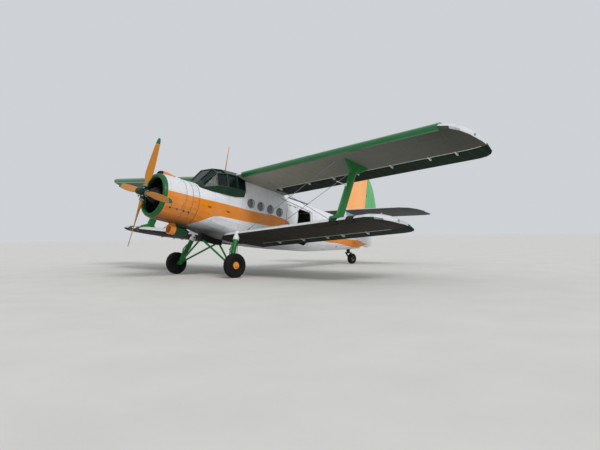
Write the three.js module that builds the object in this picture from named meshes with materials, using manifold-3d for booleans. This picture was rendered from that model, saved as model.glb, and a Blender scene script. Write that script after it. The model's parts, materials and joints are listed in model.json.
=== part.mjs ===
// A single-engined radial biplane, standing tail-down on its three wheels.
// Millimetres. The airframe is drawn with X to port, Y aft of the propeller disc
// and Z up from the thrust line, then pitched nose-up onto its wheels.
import * as THREE from 'three';
import { mergeVertices } from 'three/addons/utils/BufferGeometryUtils.js';
import Module from 'manifold-3d';

const wasm = await Module();
wasm.setup();

// Driving dimensions
const GROUND_ANGLE = THREE.MathUtils.degToRad(11.83);
const SEAT_GAP = 0.3;
const RUNNING_GAP = 8;

const UPPER_HALF_SPAN = 9088;
const UPPER_CHORD = 2400;
const UPPER_LEADING_EDGE = 3000;
const UPPER_HEIGHT = 1300;
const UPPER_DIHEDRAL = THREE.MathUtils.degToRad(4.2);
const UPPER_TIP_FROM = 8560;
const UPPER_INCIDENCE = THREE.MathUtils.degToRad(3);

const LOWER_HALF_SPAN = 7118;
const LOWER_CHORD = 2020;
const LOWER_LEADING_EDGE = 2920;
const LOWER_HEIGHT = -860;
const LOWER_DIHEDRAL = THREE.MathUtils.degToRad(4.2);
const LOWER_INCIDENCE = THREE.MathUtils.degToRad(1);
const LOWER_TIP_FROM = 6620;

const TAILPLANE_HALF_SPAN = 3600;
const TAILPLANE_HEIGHT = 1700;
const ELEVATOR_HINGE = 10860;
const RUDDER_HINGE = 11230;

const PROPELLER_RADIUS = 1800;
const PROPELLER_LEAN = THREE.MathUtils.degToRad(12.7);
const CYLINDERS = 9;
const COWL_RADIUS = 760;
const COWL_FRONT = 270;
const FIREWALL = 1600;
const CABIN_END = 7650;
const TAIL_END = 11150;
const WALL = 50;

const TRACK = 3400;
const MAIN_AXLE_AFT = 2690;
const MAIN_AXLE_UP = -1880;
const MAIN_TYRE_RADIUS = 400;
const MAIN_TYRE_WIDTH = 260;
const WHEELBASE = 8190;
const TAIL_TYRE_RADIUS = 235;
const TAIL_TYRE_WIDTH = 200;
const TAIL_TRAIL = 250;

const CABIN_FLOOR = -500;
const COCKPIT_FLOOR = -80;
const PORTHOLE_RADIUS = 145;
const PORTHOLE_FIRST = 3690;
const PORTHOLE_PITCH = 475;
const PORTHOLES = 4;
const PORTHOLE_UP = 480;
const CARGO_DOOR = { front: 5500, rear: 7030, bottom: -485, top: 900 };
const SMALL_DOOR = { front: 6130, rear: 6940, bottom: -470, top: 880 };
const SMALL_DOOR_OPEN = THREE.MathUtils.degToRad(88);

const finish = (color, roughness, metalness = 0) => (
  new THREE.MeshStandardMaterial({ color, roughness, metalness })
);
const WHITE = finish(0xdcdfe0, 0.45);
const ORANGE = finish(0xe08a22, 0.45);
const PALE_ORANGE = finish(0xf0a860, 0.5);
const GREEN = finish(0x14623a, 0.45);
const PALE_GREEN = finish(0x7fb88a, 0.5);
const GREY = finish(0x9a9c9a, 0.5, 0.3);
const DARK = finish(0x2a2b2c, 0.6, 0.4);
const STEEL = finish(0x8c9196, 0.35, 0.8);
const RUBBER = finish(0x17181a, 0.85);
const GLASS = finish(0x9fb4b8, 0.1);
const OCHRE = finish(0xb97a2c, 0.5);

// Solids: every shape is turned into one closed body before it is joined or cut.
function solidOf(geometry) {
  const bare = new THREE.BufferGeometry();
  bare.setAttribute('position', geometry.getAttribute('position').clone());
  if (geometry.index) {
    bare.setIndex(geometry.index.clone());
  }
  const merged = mergeVertices(bare, 1e-3);
  return new wasm.Manifold(new wasm.Mesh({
    numProp: 3,
    vertProperties: new Float32Array(merged.getAttribute('position').array),
    triVerts: new Uint32Array(merged.index.array),
  }));
}

function geometryOf(solid) {
  const mesh = solid.getMesh();
  const geometry = new THREE.BufferGeometry();
  geometry.setAttribute('position', new THREE.BufferAttribute(mesh.vertProperties, 3));
  geometry.setIndex(new THREE.BufferAttribute(mesh.triVerts, 1));
  geometry.computeVertexNormals();
  return geometry;
}

function join(first, ...others) {
  return geometryOf(others.reduce((sum, other) => sum.add(solidOf(other)), solidOf(first)));
}

function cut(first, ...others) {
  return geometryOf(others.reduce((rest, other) => rest.subtract(solidOf(other)), solidOf(first)));
}

function common(first, ...others) {
  return geometryOf(others.reduce((rest, other) => rest.intersect(solidOf(other)), solidOf(first)));
}

// A closed skin through rings with the same number of points, with flat ends.
// Its facets are split the opposite way to starboard, so that both sides match.
function loft(rings) {
  const count = rings[0].length;
  const index = [];
  for (let ring = 0; ring < rings.length - 1; ring += 1) {
    for (let point = 0; point < count; point += 1) {
      const next = (point + 1) % count;
      const [a, b] = [ring * count + point, ring * count + next];
      const [c, d] = [b + count, a + count];
      if (rings[ring][point].x + rings[ring][next].x < 0) {
        index.push(a, b, d, b, c, d);
      } else {
        index.push(a, b, c, a, c, d);
      }
    }
  }
  const last = (rings.length - 1) * count;
  for (const triangle of capOf(rings[0])) {
    index.push(triangle[2], triangle[1], triangle[0]);
  }
  for (const triangle of capOf(rings[rings.length - 1])) {
    index.push(last + triangle[0], last + triangle[1], last + triangle[2]);
  }
  const geometry = new THREE.BufferGeometry();
  geometry.setAttribute('position', new THREE.Float32BufferAttribute(
    rings.flat().flatMap((point) => [point.x, point.y, point.z]), 3));
  geometry.setIndex(index);
  return facingOut(geometry);
}

// Triangles over one ring, each listed in the ring's own order.
function capOf(ring) {
  const normal = new THREE.Vector3();
  ring.forEach((point, i) => {
    normal.add(new THREE.Vector3().crossVectors(point, ring[(i + 1) % ring.length]));
  });
  const size = [Math.abs(normal.x), Math.abs(normal.y), Math.abs(normal.z)];
  const flat = size.indexOf(Math.max(...size));
  const [u, v] = ['x', 'y', 'z'].filter((_, i) => i !== flat);
  const contour = ring.map((point) => new THREE.Vector2(point[u], point[v]));
  return THREE.ShapeUtils.triangulateShape(contour, []).map((triangle) => (
    [...triangle].sort((a, b) => a - b)
  ));
}

function facingOut(geometry) {
  const at = geometry.getAttribute('position');
  const index = geometry.index.array;
  const [a, b, c] = [new THREE.Vector3(), new THREE.Vector3(), new THREE.Vector3()];
  let volume = 0;
  for (let i = 0; i < index.length; i += 3) {
    a.fromBufferAttribute(at, index[i]);
    b.fromBufferAttribute(at, index[i + 1]);
    c.fromBufferAttribute(at, index[i + 2]);
    volume += a.dot(b.cross(c));
  }
  if (volume < 0) {
    for (let i = 0; i < index.length; i += 3) {
      [index[i], index[i + 1]] = [index[i + 1], index[i]];
    }
  }
  return geometry;
}

// A neighbour and its copies moved a seat gap each way: cutting by them leaves that gap.
function around(geometry) {
  const steps = [-SEAT_GAP, SEAT_GAP];
  return [
    geometry,
    ...steps.map((step) => geometry.clone().translate(step, 0, 0)),
    ...steps.map((step) => geometry.clone().translate(0, step, 0)),
    ...steps.map((step) => geometry.clone().translate(0, 0, step)),
  ];
}

// The other hand of a shape, turned over across one of its axes.
function mirror(geometry, x, y, z) {
  return facingOut(geometry.clone().scale(x, y, z));
}

function box(x0, x1, y0, y1, z0, z1) {
  return new THREE.BoxGeometry(x1 - x0, y1 - y0, z1 - z0)
    .translate((x0 + x1) / 2, (y0 + y1) / 2, (z0 + z1) / 2);
}

// A round bar between two points, tapering if it has a second radius.
function rod(from, to, radius, sides = 12, endRadius = radius) {
  const along = new THREE.Vector3().subVectors(to, from);
  const turn = new THREE.Quaternion().setFromUnitVectors(
    new THREE.Vector3(0, 1, 0), along.clone().normalize());
  return new THREE.CylinderGeometry(endRadius, radius, along.length(), sides)
    .applyQuaternion(turn)
    .translate(...new THREE.Vector3().addVectors(from, to).multiplyScalar(0.5).toArray());
}

// A turned body about the lathe's own axis, Y. Profile columns: radius, aft.
function turned(profile, segments) {
  const closed = profile[0][0] > 0 ? [...profile, profile[0]] : profile;
  const points = closed.map(([radius, aft]) => new THREE.Vector2(radius, aft));
  return facingOut(mergedLathe(points, segments));
}

function mergedLathe(points, segments) {
  const lathe = new THREE.LatheGeometry(points, segments);
  lathe.deleteAttribute('normal');
  lathe.deleteAttribute('uv');
  const merged = mergeVertices(lathe, 1e-3);
  const kept = [];
  const index = merged.index.array;
  for (let i = 0; i < index.length; i += 3) {
    const [a, b, c] = [index[i], index[i + 1], index[i + 2]];
    if (a !== b && b !== c && c !== a) {
      kept.push(a, b, c);
    }
  }
  merged.setIndex(kept);
  return merged;
}

// A wheel about the port axis, turned so that one of its flats faces down.
function wheelOf(profile, sides) {
  return turned(profile, sides).rotateY(Math.PI / sides).rotateZ(-Math.PI / 2);
}

const P = (port, aft, up) => new THREE.Vector3(port, aft, up);

function place(name, geometry, material, parent) {
  const mesh = new THREE.Mesh(geometry, material);
  mesh.name = name;
  parent.add(mesh);
  return mesh;
}

function pivotAt(parent, port, aft, up) {
  const pivot = new THREE.Group();
  pivot.position.set(port, aft, up);
  parent.add(pivot);
  return pivot;
}

const stand = new THREE.Group();
const airframe = new THREE.Group();
airframe.rotation.x = -GROUND_ANGLE;
stand.add(airframe);
const mirrored = new THREE.Group();
mirrored.scale.x = -1;
airframe.add(mirrored);
const SIDES = [['left', airframe], ['right', mirrored]];

// Fuselage sections: aft, halfWidth, top, waist, bottom, roundTop, roundBottom
const BODY_POINTS = 24;
const BODY = [
  [1600, 755, 755, 0, -755, 2.0, 2.0],
  [2180, 830, 940, 0, -850, 2.2, 2.3],
  [2900, 862, 1300, 50, -930, 2.8, 3.0],
  [3330, 868, 1500, 100, -950, 3.8, 3.2],
  [3900, 870, 1580, 100, -950, 4.0, 3.2],
  [4700, 870, 1530, 100, -930, 4.0, 3.2],
  [5500, 866, 1390, 100, -850, 3.4, 3.0],
  [6300, 850, 1320, 100, -750, 3.0, 2.8],
  [7650, 750, 1300, 150, -575, 2.6, 2.6],
  [9000, 555, 1290, 250, -300, 2.4, 2.4],
  [10300, 330, 1240, 400, -20, 2.2, 2.2],
  [11150, 150, 1180, 500, 180, 2.2, 2.2],
];

function bodyRing([aft, halfWidth, top, waist, bottom, roundTop, roundBottom], grow) {
  const ring = [];
  for (let i = 0; i < BODY_POINTS; i += 1) {
    const angle = (i / BODY_POINTS) * Math.PI * 2;
    const across = Math.cos(angle);
    const height = Math.sin(angle);
    const power = 2 / (height >= 0 ? roundTop : roundBottom);
    const reach = (height >= 0 ? top - waist : waist - bottom) + grow;
    ring.push(P(
      Math.sign(across) * Math.abs(across) ** power * (halfWidth + grow),
      aft,
      waist + Math.sign(height) * Math.abs(height) ** power * reach));
  }
  return ring;
}

// The body between two stations of the table, its ends moved by the given overruns.
function bodyLoft(from, to, grow, before = 0, after = 0) {
  const rows = BODY.filter(([aft]) => aft >= from && aft <= to).map((row) => [...row]);
  rows[0][0] -= before;
  rows[rows.length - 1][0] += after;
  return loft(rows.map((row) => bodyRing(row, grow)));
}

const bodyEnvelope = bodyLoft(FIREWALL, TAIL_END, SEAT_GAP);
const cabinHollow = bodyLoft(FIREWALL, CABIN_END, -WALL, 5, 5);
const cabinLining = bodyLoft(FIREWALL, CABIN_END, -WALL - SEAT_GAP, -5, -5);

// Canopy sections: aft, then half width and height of sill, belt, eave and ridge
const CANOPY = [
  [1640, 470, 500, 480, 540, 380, 640, 220, 720],
  [1780, 560, 520, 600, 610, 500, 770, 270, 880],
  [2180, 740, 530, 825, 740, 660, 1210, 330, 1400],
  [2560, 850, 530, 930, 780, 730, 1290, 350, 1470],
  [2960, 880, 540, 950, 800, 750, 1320, 360, 1500],
  [3330, 880, 620, 935, 840, 755, 1340, 380, 1520],
];
const CANOPY_BAR = 30;
const CANOPY_GLASS = 6;

function canopyRing(row, shrink, floorDrop) {
  const [aft, sill, sillUp, belt, beltUp, eave, eaveUp, ridge, ridgeUp] = row;
  const half = [
    [sill - shrink, sillUp - floorDrop],
    [belt - shrink, beltUp],
    [eave - shrink, eaveUp - shrink],
    [ridge - shrink / 2, ridgeUp - shrink],
  ];
  return [
    ...half.map(([port, up]) => P(port, aft, up)),
    ...half.reverse().map(([port, up]) => P(-port, aft, up)),
  ];
}

function canopyLoft(shrink, floorDrop, before, after) {
  const rows = CANOPY.map((row) => [...row]);
  rows[0][0] -= before;
  rows[rows.length - 1][0] += after;
  return loft(rows.map((row) => canopyRing(row, shrink, floorDrop)));
}

const canopyOuter = canopyLoft(0, 0, 0, 0);
const canopyEnvelope = canopyLoft(-SEAT_GAP, SEAT_GAP, SEAT_GAP, SEAT_GAP);
const HATCH_MARGIN = 120;
const canopyHatch = loft(CANOPY.slice(1).map(([aft, sill, sillUp]) => {
  const edge = sill - HATCH_MARGIN;
  const station = aft === 3330 ? 3280 : aft;
  const [low, high] = [sillUp - 80, sillUp + 40];
  return [P(edge, station, low), P(edge, station, high), P(-edge, station, high), P(-edge, station, low)];
}));

// One pane: the facet's corners drawn in by the bar's half width, cut through the shell.
const PANE_MARGIN = 28;
function paneCutter(corners) {
  const inset = corners.map((corner, i) => {
    const next = corners[(i + 1) % 4].clone().sub(corner).normalize();
    const last = corners[(i + 3) % 4].clone().sub(corner).normalize();
    return corner.clone().addScaledVector(next, PANE_MARGIN).addScaledVector(last, PANE_MARGIN);
  });
  const normal = new THREE.Vector3().crossVectors(
    inset[2].clone().sub(inset[0]), inset[3].clone().sub(inset[1])).normalize();
  return loft([-60, 60].map((depth) => inset.map((p) => p.clone().addScaledVector(normal, depth))));
}

// Panes: bay between two canopy sections, then the facets that are glazed
const PANES = [
  [1, [1, 2, 3, 4, 5]],
  [2, [1, 2, 4, 5]],
  [3, [1, 5]],
  [4, [1, 5]],
];
const paneCutters = PANES.flatMap(([bay, facets]) => facets.map((facet) => {
  const near = canopyRing(CANOPY[bay], 0, 0);
  const far = canopyRing(CANOPY[bay + 1], 0, 0);
  return paneCutter([near[facet], near[facet + 1], far[facet + 1], far[facet]]);
}));

const canopyFrame = cut(
  canopyOuter,
  canopyLoft(CANOPY_BAR, -CANOPY_BAR, -40, -30),
  canopyHatch,
  box(-700, 700, 3200, 3400, 560, 1300),
  ...paneCutters);
place('canopy_frame', canopyFrame, GREEN, airframe);

const glassOuter = canopyLoft(CANOPY_BAR + SEAT_GAP, -CANOPY_BAR - SEAT_GAP, -41, -31);
const glassInner = canopyLoft(CANOPY_BAR + CANOPY_GLASS, 100, -50, 10);
place('canopy_glazing', cut(glassOuter, glassInner), GLASS, airframe);

// Portholes and doors are cut through the wall from the side.
function doorCutter({ front, rear, bottom, top }, side, inset = 0) {
  const radius = 130;
  const shape = new THREE.Shape();
  shape.moveTo(front + inset, bottom + inset);
  shape.lineTo(rear - inset, bottom + inset);
  shape.lineTo(rear - inset, top - inset - radius);
  shape.quadraticCurveTo(rear - inset, top - inset, rear - inset - radius, top - inset);
  shape.lineTo(front + inset + radius, top - inset);
  shape.quadraticCurveTo(front + inset, top - inset, front + inset, top - inset - radius);
  const slab = new THREE.ExtrudeGeometry(shape, { depth: 600, bevelEnabled: false, curveSegments: 4 });
  slab.applyMatrix4(new THREE.Matrix4().makeBasis(P(0, 1, 0), P(0, 0, 1), P(1, 0, 0)));
  return slab.translate(side > 0 ? 450 : -1050, 0, 0);
}

function portholeCutter(aft, up, side) {
  return rod(P(side * 600, aft, up), P(side * 1000, aft, up), PORTHOLE_RADIUS, 12);
}

const portholes = [];
for (let i = 0; i < PORTHOLES; i += 1) {
  for (const side of [1, -1]) {
    portholes.push(portholeCutter(PORTHOLE_FIRST + i * PORTHOLE_PITCH, PORTHOLE_UP, side));
  }
}
const cabinWall = cut(bodyLoft(FIREWALL, CABIN_END, 0), cabinHollow);
const firewall = common(bodyLoft(FIREWALL, CABIN_END, -WALL / 2), box(-900, 900, 1610, 1635, -900, 900));
const cabinShell = join(
  cut(cabinWall, canopyEnvelope, ...portholes, doorCutter(CARGO_DOOR, 1)),
  firewall);
place('cabin_shell', cabinShell, WHITE, airframe);

// The small door hangs on two pins inside the cabin, so that it opens inwards.
const HINGE_PORT = 690;
const HINGE_AFT = SMALL_DOOR.front + RUNNING_GAP;
const HINGE_UPS = [-200, 560];
const HINGE_EYE = 20;
const HINGE_PIN = 7;
const HINGE_HOLE = 8.5;
const HINGE_TALL = 24;
const HINGE_REACH = 805;
const hingePin = (up, radius) => (
  rod(P(HINGE_PORT, HINGE_AFT, up - HINGE_TALL), P(HINGE_PORT, HINGE_AFT, up + 1), radius, 10)
);
const hingeBrackets = HINGE_UPS.flatMap((up) => {
  const [low, high] = [up - HINGE_TALL, up - SEAT_GAP];
  return [
    rod(P(HINGE_PORT, HINGE_AFT, low), P(HINGE_PORT, HINGE_AFT, high), HINGE_EYE, 10),
    box(HINGE_PORT - 15, HINGE_PORT + 15, HINGE_AFT - 48, HINGE_AFT, low, high),
    box(HINGE_PORT - 15, HINGE_REACH, HINGE_AFT - 48, HINGE_AFT - 16, low, high),
  ];
});
const hingeArms = HINGE_UPS.flatMap((up) => [
  rod(P(HINGE_PORT, HINGE_AFT, up), P(HINGE_PORT, HINGE_AFT, up + HINGE_TALL), HINGE_EYE, 10),
  box(HINGE_PORT, HINGE_REACH, HINGE_AFT, HINGE_AFT + HINGE_EYE, up, up + HINGE_TALL),
  hingePin(up, HINGE_PIN),
]);

const smallDoorWindow = portholeCutter((SMALL_DOOR.front + SMALL_DOOR.rear) / 2, 560, 1);
const cargoDoor = cut(
  common(cabinWall, doorCutter(CARGO_DOOR, 1, SEAT_GAP)),
  doorCutter(SMALL_DOOR, 1));
const cargoDoorHung = cut(
  join(cargoDoor, ...hingeBrackets),
  ...HINGE_UPS.map((up) => hingePin(up, HINGE_HOLE)));
place('cargo_door', cargoDoorHung, WHITE, airframe);

const smallDoorPivot = pivotAt(airframe, HINGE_PORT, HINGE_AFT, 0);
smallDoorPivot.rotation.z = SMALL_DOOR_OPEN;
const smallDoorOpening = { ...SMALL_DOOR, rear: SMALL_DOOR.rear - RUNNING_GAP };
const smallDoorPanel = cut(
  common(cabinWall, doorCutter(smallDoorOpening, 1, RUNNING_GAP)),
  smallDoorWindow);
const smallDoor = join(smallDoorPanel, ...hingeArms).translate(-HINGE_PORT, -HINGE_AFT, 0);
place('passenger_door', smallDoor, WHITE, smallDoorPivot);

const rearHollow = bodyLoft(CABIN_END, 10300, -40, 5, 0);
const rearFuselage = cut(bodyLoft(CABIN_END, TAIL_END, 0, -SEAT_GAP), rearHollow);
place('rear_fuselage', rearFuselage, WHITE, airframe);

// Floors and bulkheads fill the hollow from wall to wall; benches and seats stand on them.
const lined = (...sides) => common(cabinLining, box(...sides));
const cabinBulkhead = cut(
  lined(-900, 900, 3345, 3370, CABIN_FLOOR - 20, 1400),
  box(-280, 280, 3300, 3400, COCKPIT_FLOOR, 1150));
const rearBulkhead = cut(
  lined(-900, 900, 7605, 7630, -800, 1400),
  box(-250, 250, 7590, 7650, -350, 750));
const benches = [[420, 900], [-900, -420]].map(([from, to]) => lined(from, to, 3600, 5380, -160, -120));
const benchLegs = [-480, 440].flatMap((port) => [3700, 5250].map((aft) => (
  box(port, port + 40, aft, aft + 40, CABIN_FLOOR - 10, -130)
)));
const cabinFloor = join(
  lined(-900, 900, 2200, 7620, CABIN_FLOOR - 40, CABIN_FLOOR),
  cabinBulkhead, rearBulkhead, ...benches, ...benchLegs);
place('cabin_floor', cabinFloor, GREY, airframe);

const seats = [-640, 220].flatMap((port) => [
  box(port, port + 420, 2500, 2900, 160, 230),
  box(port, port + 420, 2860, 2940, 180, 900),
  box(port + 80, port + 340, 2560, 2860, COCKPIT_FLOOR - 10, 170),
]);
const dashboard = cut(lined(-700, 700, 1960, 2000, 120, 700), canopyEnvelope);
const cockpitFloor = join(
  lined(-900, 900, 1660, 3290, COCKPIT_FLOOR - 30, COCKPIT_FLOOR),
  lined(-300, 300, 1960, 2100, COCKPIT_FLOOR - 10, 200),
  dashboard, ...seats);
place('cockpit_floor', cockpitFloor, DARK, airframe);

for (const [side, parent] of SIDES) {
  const glassStrip = cut(
    lined(500, 900, 3500, 5300, 300, 660),
    bodyLoft(FIREWALL, CABIN_END, -WALL - 6, 5, 5));
  place(`cabin_glass_${side}`, glassStrip, GLASS, parent);
}

// Wing sections. A section is a leading edge, a trailing edge and a thickness; the fixed
// part ends in a cove round the hinge, and the moving part has a round nose on it.
function thicknessAt(u) {
  return 5 * (0.2969 * Math.sqrt(u) - 0.126 * u - 0.3516 * u ** 2 + 0.2843 * u ** 3 - 0.1015 * u ** 4);
}

function camberAt(u) {
  const peak = 0.4;
  return u < peak
    ? (2 * peak * u - u ** 2) / peak ** 2
    : (1 - 2 * peak + 2 * peak * u - u ** 2) / (1 - peak) ** 2;
}

const BLUNT = 6;

class Foil {
  // hinge is measured aft; camber is the greatest rise of the middle line.
  constructor({ hinge, camber, axisUp, from, leading, trailing, thickness }) {
    this.span = from;
    this.leading = leading;
    this.trailing = trailing;
    this.thickness = thickness;
    this.camber = camber;
    this.hinge = hinge;
    this.radius = this.half(hinge);
    this.lift = axisUp - this.middle(hinge);
  }

  fraction(aft) {
    return THREE.MathUtils.clamp((aft - this.leading) / (this.trailing - this.leading), 0, 1);
  }

  half(aft) {
    return this.thickness * thicknessAt(this.fraction(aft)) + BLUNT * this.fraction(aft);
  }

  middle(aft) {
    return this.camber * camberAt(this.fraction(aft));
  }

  at(aft, side) {
    return P(this.span, aft, this.lift + this.middle(aft) + side * this.half(aft));
  }

  stretch(from, to, side, steps) {
    const points = [];
    for (let i = 0; i <= steps; i += 1) {
      const spread = from === this.leading ? (1 - Math.cos((i / steps) * Math.PI / 2)) : i / steps;
      points.push(this.at(from + (to - from) * spread, side));
    }
    return points;
  }

  arc(radius, fromAngle, toAngle, steps) {
    const points = [];
    for (let i = 0; i <= steps; i += 1) {
      const angle = fromAngle + ((toAngle - fromAngle) * i) / steps;
      points.push(P(
        this.span,
        this.hinge + radius * Math.cos(angle),
        this.lift + this.middle(this.hinge) + radius * Math.sin(angle)));
    }
    return points;
  }

  whole() {
    const upper = this.stretch(this.leading, this.trailing, 1, 8);
    const lower = this.stretch(this.leading, this.trailing, -1, 8).reverse().slice(0, -1);
    return [...upper, ...lower];
  }

  fixed() {
    const cove = this.radius + RUNNING_GAP;
    const lip = Math.sqrt(cove ** 2 - (0.9 * this.radius) ** 2);
    const open = Math.acos(-lip / cove);
    const upper = this.stretch(this.leading, this.hinge - lip, 1, 6);
    const lower = this.stretch(this.leading, this.hinge - lip, -1, 6).reverse().slice(0, -1);
    return [...upper, ...this.arc(cove, open, 2 * Math.PI - open, 4), ...lower];
  }

  moving() {
    const upper = this.stretch(this.hinge, this.trailing, 1, 3);
    const lower = this.stretch(this.hinge, this.trailing, -1, 3).reverse();
    const nose = this.arc(this.radius, 1.5 * Math.PI, 0.5 * Math.PI, 6).slice(1, -1);
    return [...upper, ...lower, ...nose];
  }
}

// Sections of one surface from its table of stations: span, leading, trailing, thickness
function foils(surface) {
  const { hinge, camber, axisUp, stations } = surface;
  return stations.map(([from, leading, trailing, thickness]) => (
    new Foil({ hinge, camber, axisUp, from, leading, trailing, thickness })
  ));
}

function stationAt(stations, span) {
  const next = stations.findIndex(([from]) => from >= span);
  if (next <= 0) {
    return [span, ...stations[Math.max(next, 0)].slice(1)];
  }
  const [low, high] = [stations[next - 1], stations[next]];
  const share = (span - low[0]) / (high[0] - low[0]);
  return [span, ...low.slice(1).map((value, i) => value + (high[i + 1] - value) * share)];
}

function between(surface, from, to) {
  const inside = surface.stations.filter(([span]) => span > from && span < to);
  const ends = [stationAt(surface.stations, from), ...inside, stationAt(surface.stations, to)];
  return foils({ ...surface, stations: ends });
}

const loftOf = (sections, part) => loft(sections.map((section) => section[part]()));

// A rounded tip: columns as a station's, from full chord to the tip. Its outline is
// a quarter ellipse at the front, sweep long, and a shorter one at the back, trim long.
function tipStations(span, tip, chord, thickness, sweep, trim) {
  return [0, 0.3, 0.55, 0.78, 1].map((share) => {
    const angle = share * Math.PI / 2;
    const out = Math.sin(angle);
    const back = 1 - Math.cos(angle);
    return [
      span + (tip - span) * out,
      sweep * back,
      chord - trim * back,
      thickness * (1 - 0.72 * back),
    ];
  });
}

// Hinge hooks: a hanging arm from the fixed part to the hinge, in a slot of the moving part.
const HOOK_WIDTH = 30;
const SLOT_WIDTH = HOOK_WIDTH + 2 * RUNNING_GAP;
function hook(span, hinge, up, radius) {
  const drop = radius + 50;
  const outline = [
    [-2.2 * radius, -0.4 * radius], [-1.25 * radius, -1.15 * radius], [-0.3 * radius, -drop],
    [45, -drop + 8], [22, 16], [-22, 16],
    [-22, -radius - 18], [-0.9 * radius, -0.8 * radius - RUNNING_GAP * 4], [-1.6 * radius, -0.3 * radius],
  ];
  return loft([-HOOK_WIDTH / 2, HOOK_WIDTH / 2].map((side) => (
    outline.map(([aft, rise]) => P(span + side, hinge + aft, up + rise))
  )));
}

function slot(span, hinge, up, radius) {
  return box(span - SLOT_WIDTH / 2, span + SLOT_WIDTH / 2,
    hinge - radius - 20, hinge + radius + 70, up - radius - 300, up + 30);
}

function hingeBoss(span, hinge, up) {
  const inner = HOOK_WIDTH / 2 + SEAT_GAP;
  return rod(P(span + inner, hinge, up), P(span + SLOT_WIDTH / 2 + 5, hinge, up), 14, 6);
}

function wingFrame(leading, height, dihedral, incidence, parent) {
  const frame = new THREE.Group();
  frame.position.set(0, leading, height);
  frame.rotation.set(-incidence, -dihedral, 0, 'YXZ');
  parent.add(frame);
  frame.updateMatrix();
  return frame;
}

// Carries a shape drawn in the airframe into a wing's own frame, and back.
const intoFrame = (geometry, frame) => geometry.clone().applyMatrix4(frame.matrix.clone().invert());
const outOfFrame = (geometry, frame) => geometry.clone().applyMatrix4(frame.matrix);

function movingPiece(name, surface, from, to, hooks, material, frame) {
  const sections = between(surface, from, to);
  const { hinge, axisUp } = surface;
  const radius = sections[0].radius;
  const inside = hooks.filter((span) => span > from && span < to);
  let shape = loftOf(sections, 'moving');
  if (inside.length > 0) {
    shape = cut(shape, ...inside.map((span) => slot(span, hinge, axisUp, radius)));
    shape = join(shape, hingeBoss(inside[0], hinge, axisUp));
  }
  const pivot = pivotAt(frame, from, hinge, axisUp);
  place(name, shape.translate(-from, -hinge, -axisUp), material, pivot);
}

const UPPER_THICKNESS = 0.14 * UPPER_CHORD;
const UPPER = {
  hinge: 1700,
  camber: 70,
  axisUp: 50,
  stations: [
    [250, 0, UPPER_CHORD, UPPER_THICKNESS],
    ...tipStations(UPPER_TIP_FROM, UPPER_HALF_SPAN, UPPER_CHORD, UPPER_THICKNESS, 1150, 480),
  ],
  flap: [950, 4990],
  aileron: [5006, UPPER_HALF_SPAN],
  hooks: [1270, 2660, 3780, 4780, 6080, 7390, 8230],
};
const LOWER_THICKNESS = 0.14 * LOWER_CHORD;
const LOWER = {
  hinge: 1420,
  camber: 55,
  axisUp: 38,
  stations: [
    [250, 0, LOWER_CHORD, LOWER_THICKNESS],
    ...tipStations(LOWER_TIP_FROM, LOWER_HALF_SPAN, LOWER_CHORD, LOWER_THICKNESS, 960, 400),
  ],
  flap: [1150, LOWER_HALF_SPAN],
  hooks: [1950, 3080, 4130, 4770, 5720],
};

function fixedWing(surface, rootEnd, frame) {
  const tip = surface.stations[surface.stations.length - 1][0];
  const main = loftOf(between(surface, 250, tip), 'fixed');
  const root = loftOf(between(surface, 250, rootEnd), 'whole');
  const radius = between(surface, 250, rootEnd)[0].radius;
  const hooks = surface.hooks.map((span) => hook(span, surface.hinge, surface.axisUp, radius));
  return cut(
    join(main, root, ...hooks),
    intoFrame(bodyEnvelope, frame),
    intoFrame(canopyEnvelope, frame));
}

// The slat wraps the nose of the upper wing, seated on it.
const SLAT_THICKNESS = 26;
function slatRing(span) {
  const [section] = foils({ ...UPPER, stations: [stationAt(UPPER.stations, span)] });
  const path = [];
  for (const share of [0.1, 0.055, 0.022, 0.004]) {
    path.push(section.at(UPPER_CHORD * share, 1));
  }
  path.push(section.at(0, 1));
  for (const share of [0.005, 0.022, 0.045]) {
    path.push(section.at(UPPER_CHORD * share, -1));
  }
  const offset = (distance) => path.map((point, i) => {
    const before = path[Math.max(i - 1, 0)];
    const after = path[Math.min(i + 1, path.length - 1)];
    const away = P(0, after.z - before.z, before.y - after.y).normalize();
    const thin = i === 0 || i === path.length - 1 ? 0.25 : 1;
    return point.clone().addScaledVector(away, distance * (distance > 1 ? thin : 1));
  });
  return [...offset(SLAT_THICKNESS), ...offset(0.6).reverse()];
}

const wingSolids = {};
for (const [side, parent] of SIDES) {
  const upper = wingFrame(UPPER_LEADING_EDGE, UPPER_HEIGHT, UPPER_DIHEDRAL, UPPER_INCIDENCE, parent);
  const lower = wingFrame(LOWER_LEADING_EDGE, LOWER_HEIGHT, LOWER_DIHEDRAL, LOWER_INCIDENCE, parent);
  const upperWing = fixedWing(UPPER, UPPER.flap[0] - RUNNING_GAP, upper);
  const lowerWing = fixedWing(LOWER, LOWER.flap[0] - RUNNING_GAP, lower);
  const slat = cut(loft([slatRing(960), slatRing(UPPER_TIP_FROM)]), ...around(upperWing));
  place(`upper_wing_${side}`, upperWing, WHITE, upper);
  place(`slat_${side}`, slat, GREEN, upper);
  place(`lower_wing_${side}`, lowerWing, WHITE, lower);
  movingPiece(`flap_upper_${side}`, UPPER, ...UPPER.flap, UPPER.hooks, GREEN, upper);
  movingPiece(`aileron_${side}`, UPPER, ...UPPER.aileron, UPPER.hooks, GREEN, upper);
  movingPiece(`flap_lower_${side}`, LOWER, ...LOWER.flap, LOWER.hooks, GREEN, lower);
  wingSolids[side] = [outOfFrame(upperWing, upper), outOfFrame(lowerWing, lower)];
}

// What stands between the wings is trimmed a seat gap short of each of them.
const [upperSolid, lowerSolid] = wingSolids.left;
const wingTrim = [...around(upperSolid), ...around(lowerSolid)];

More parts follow.
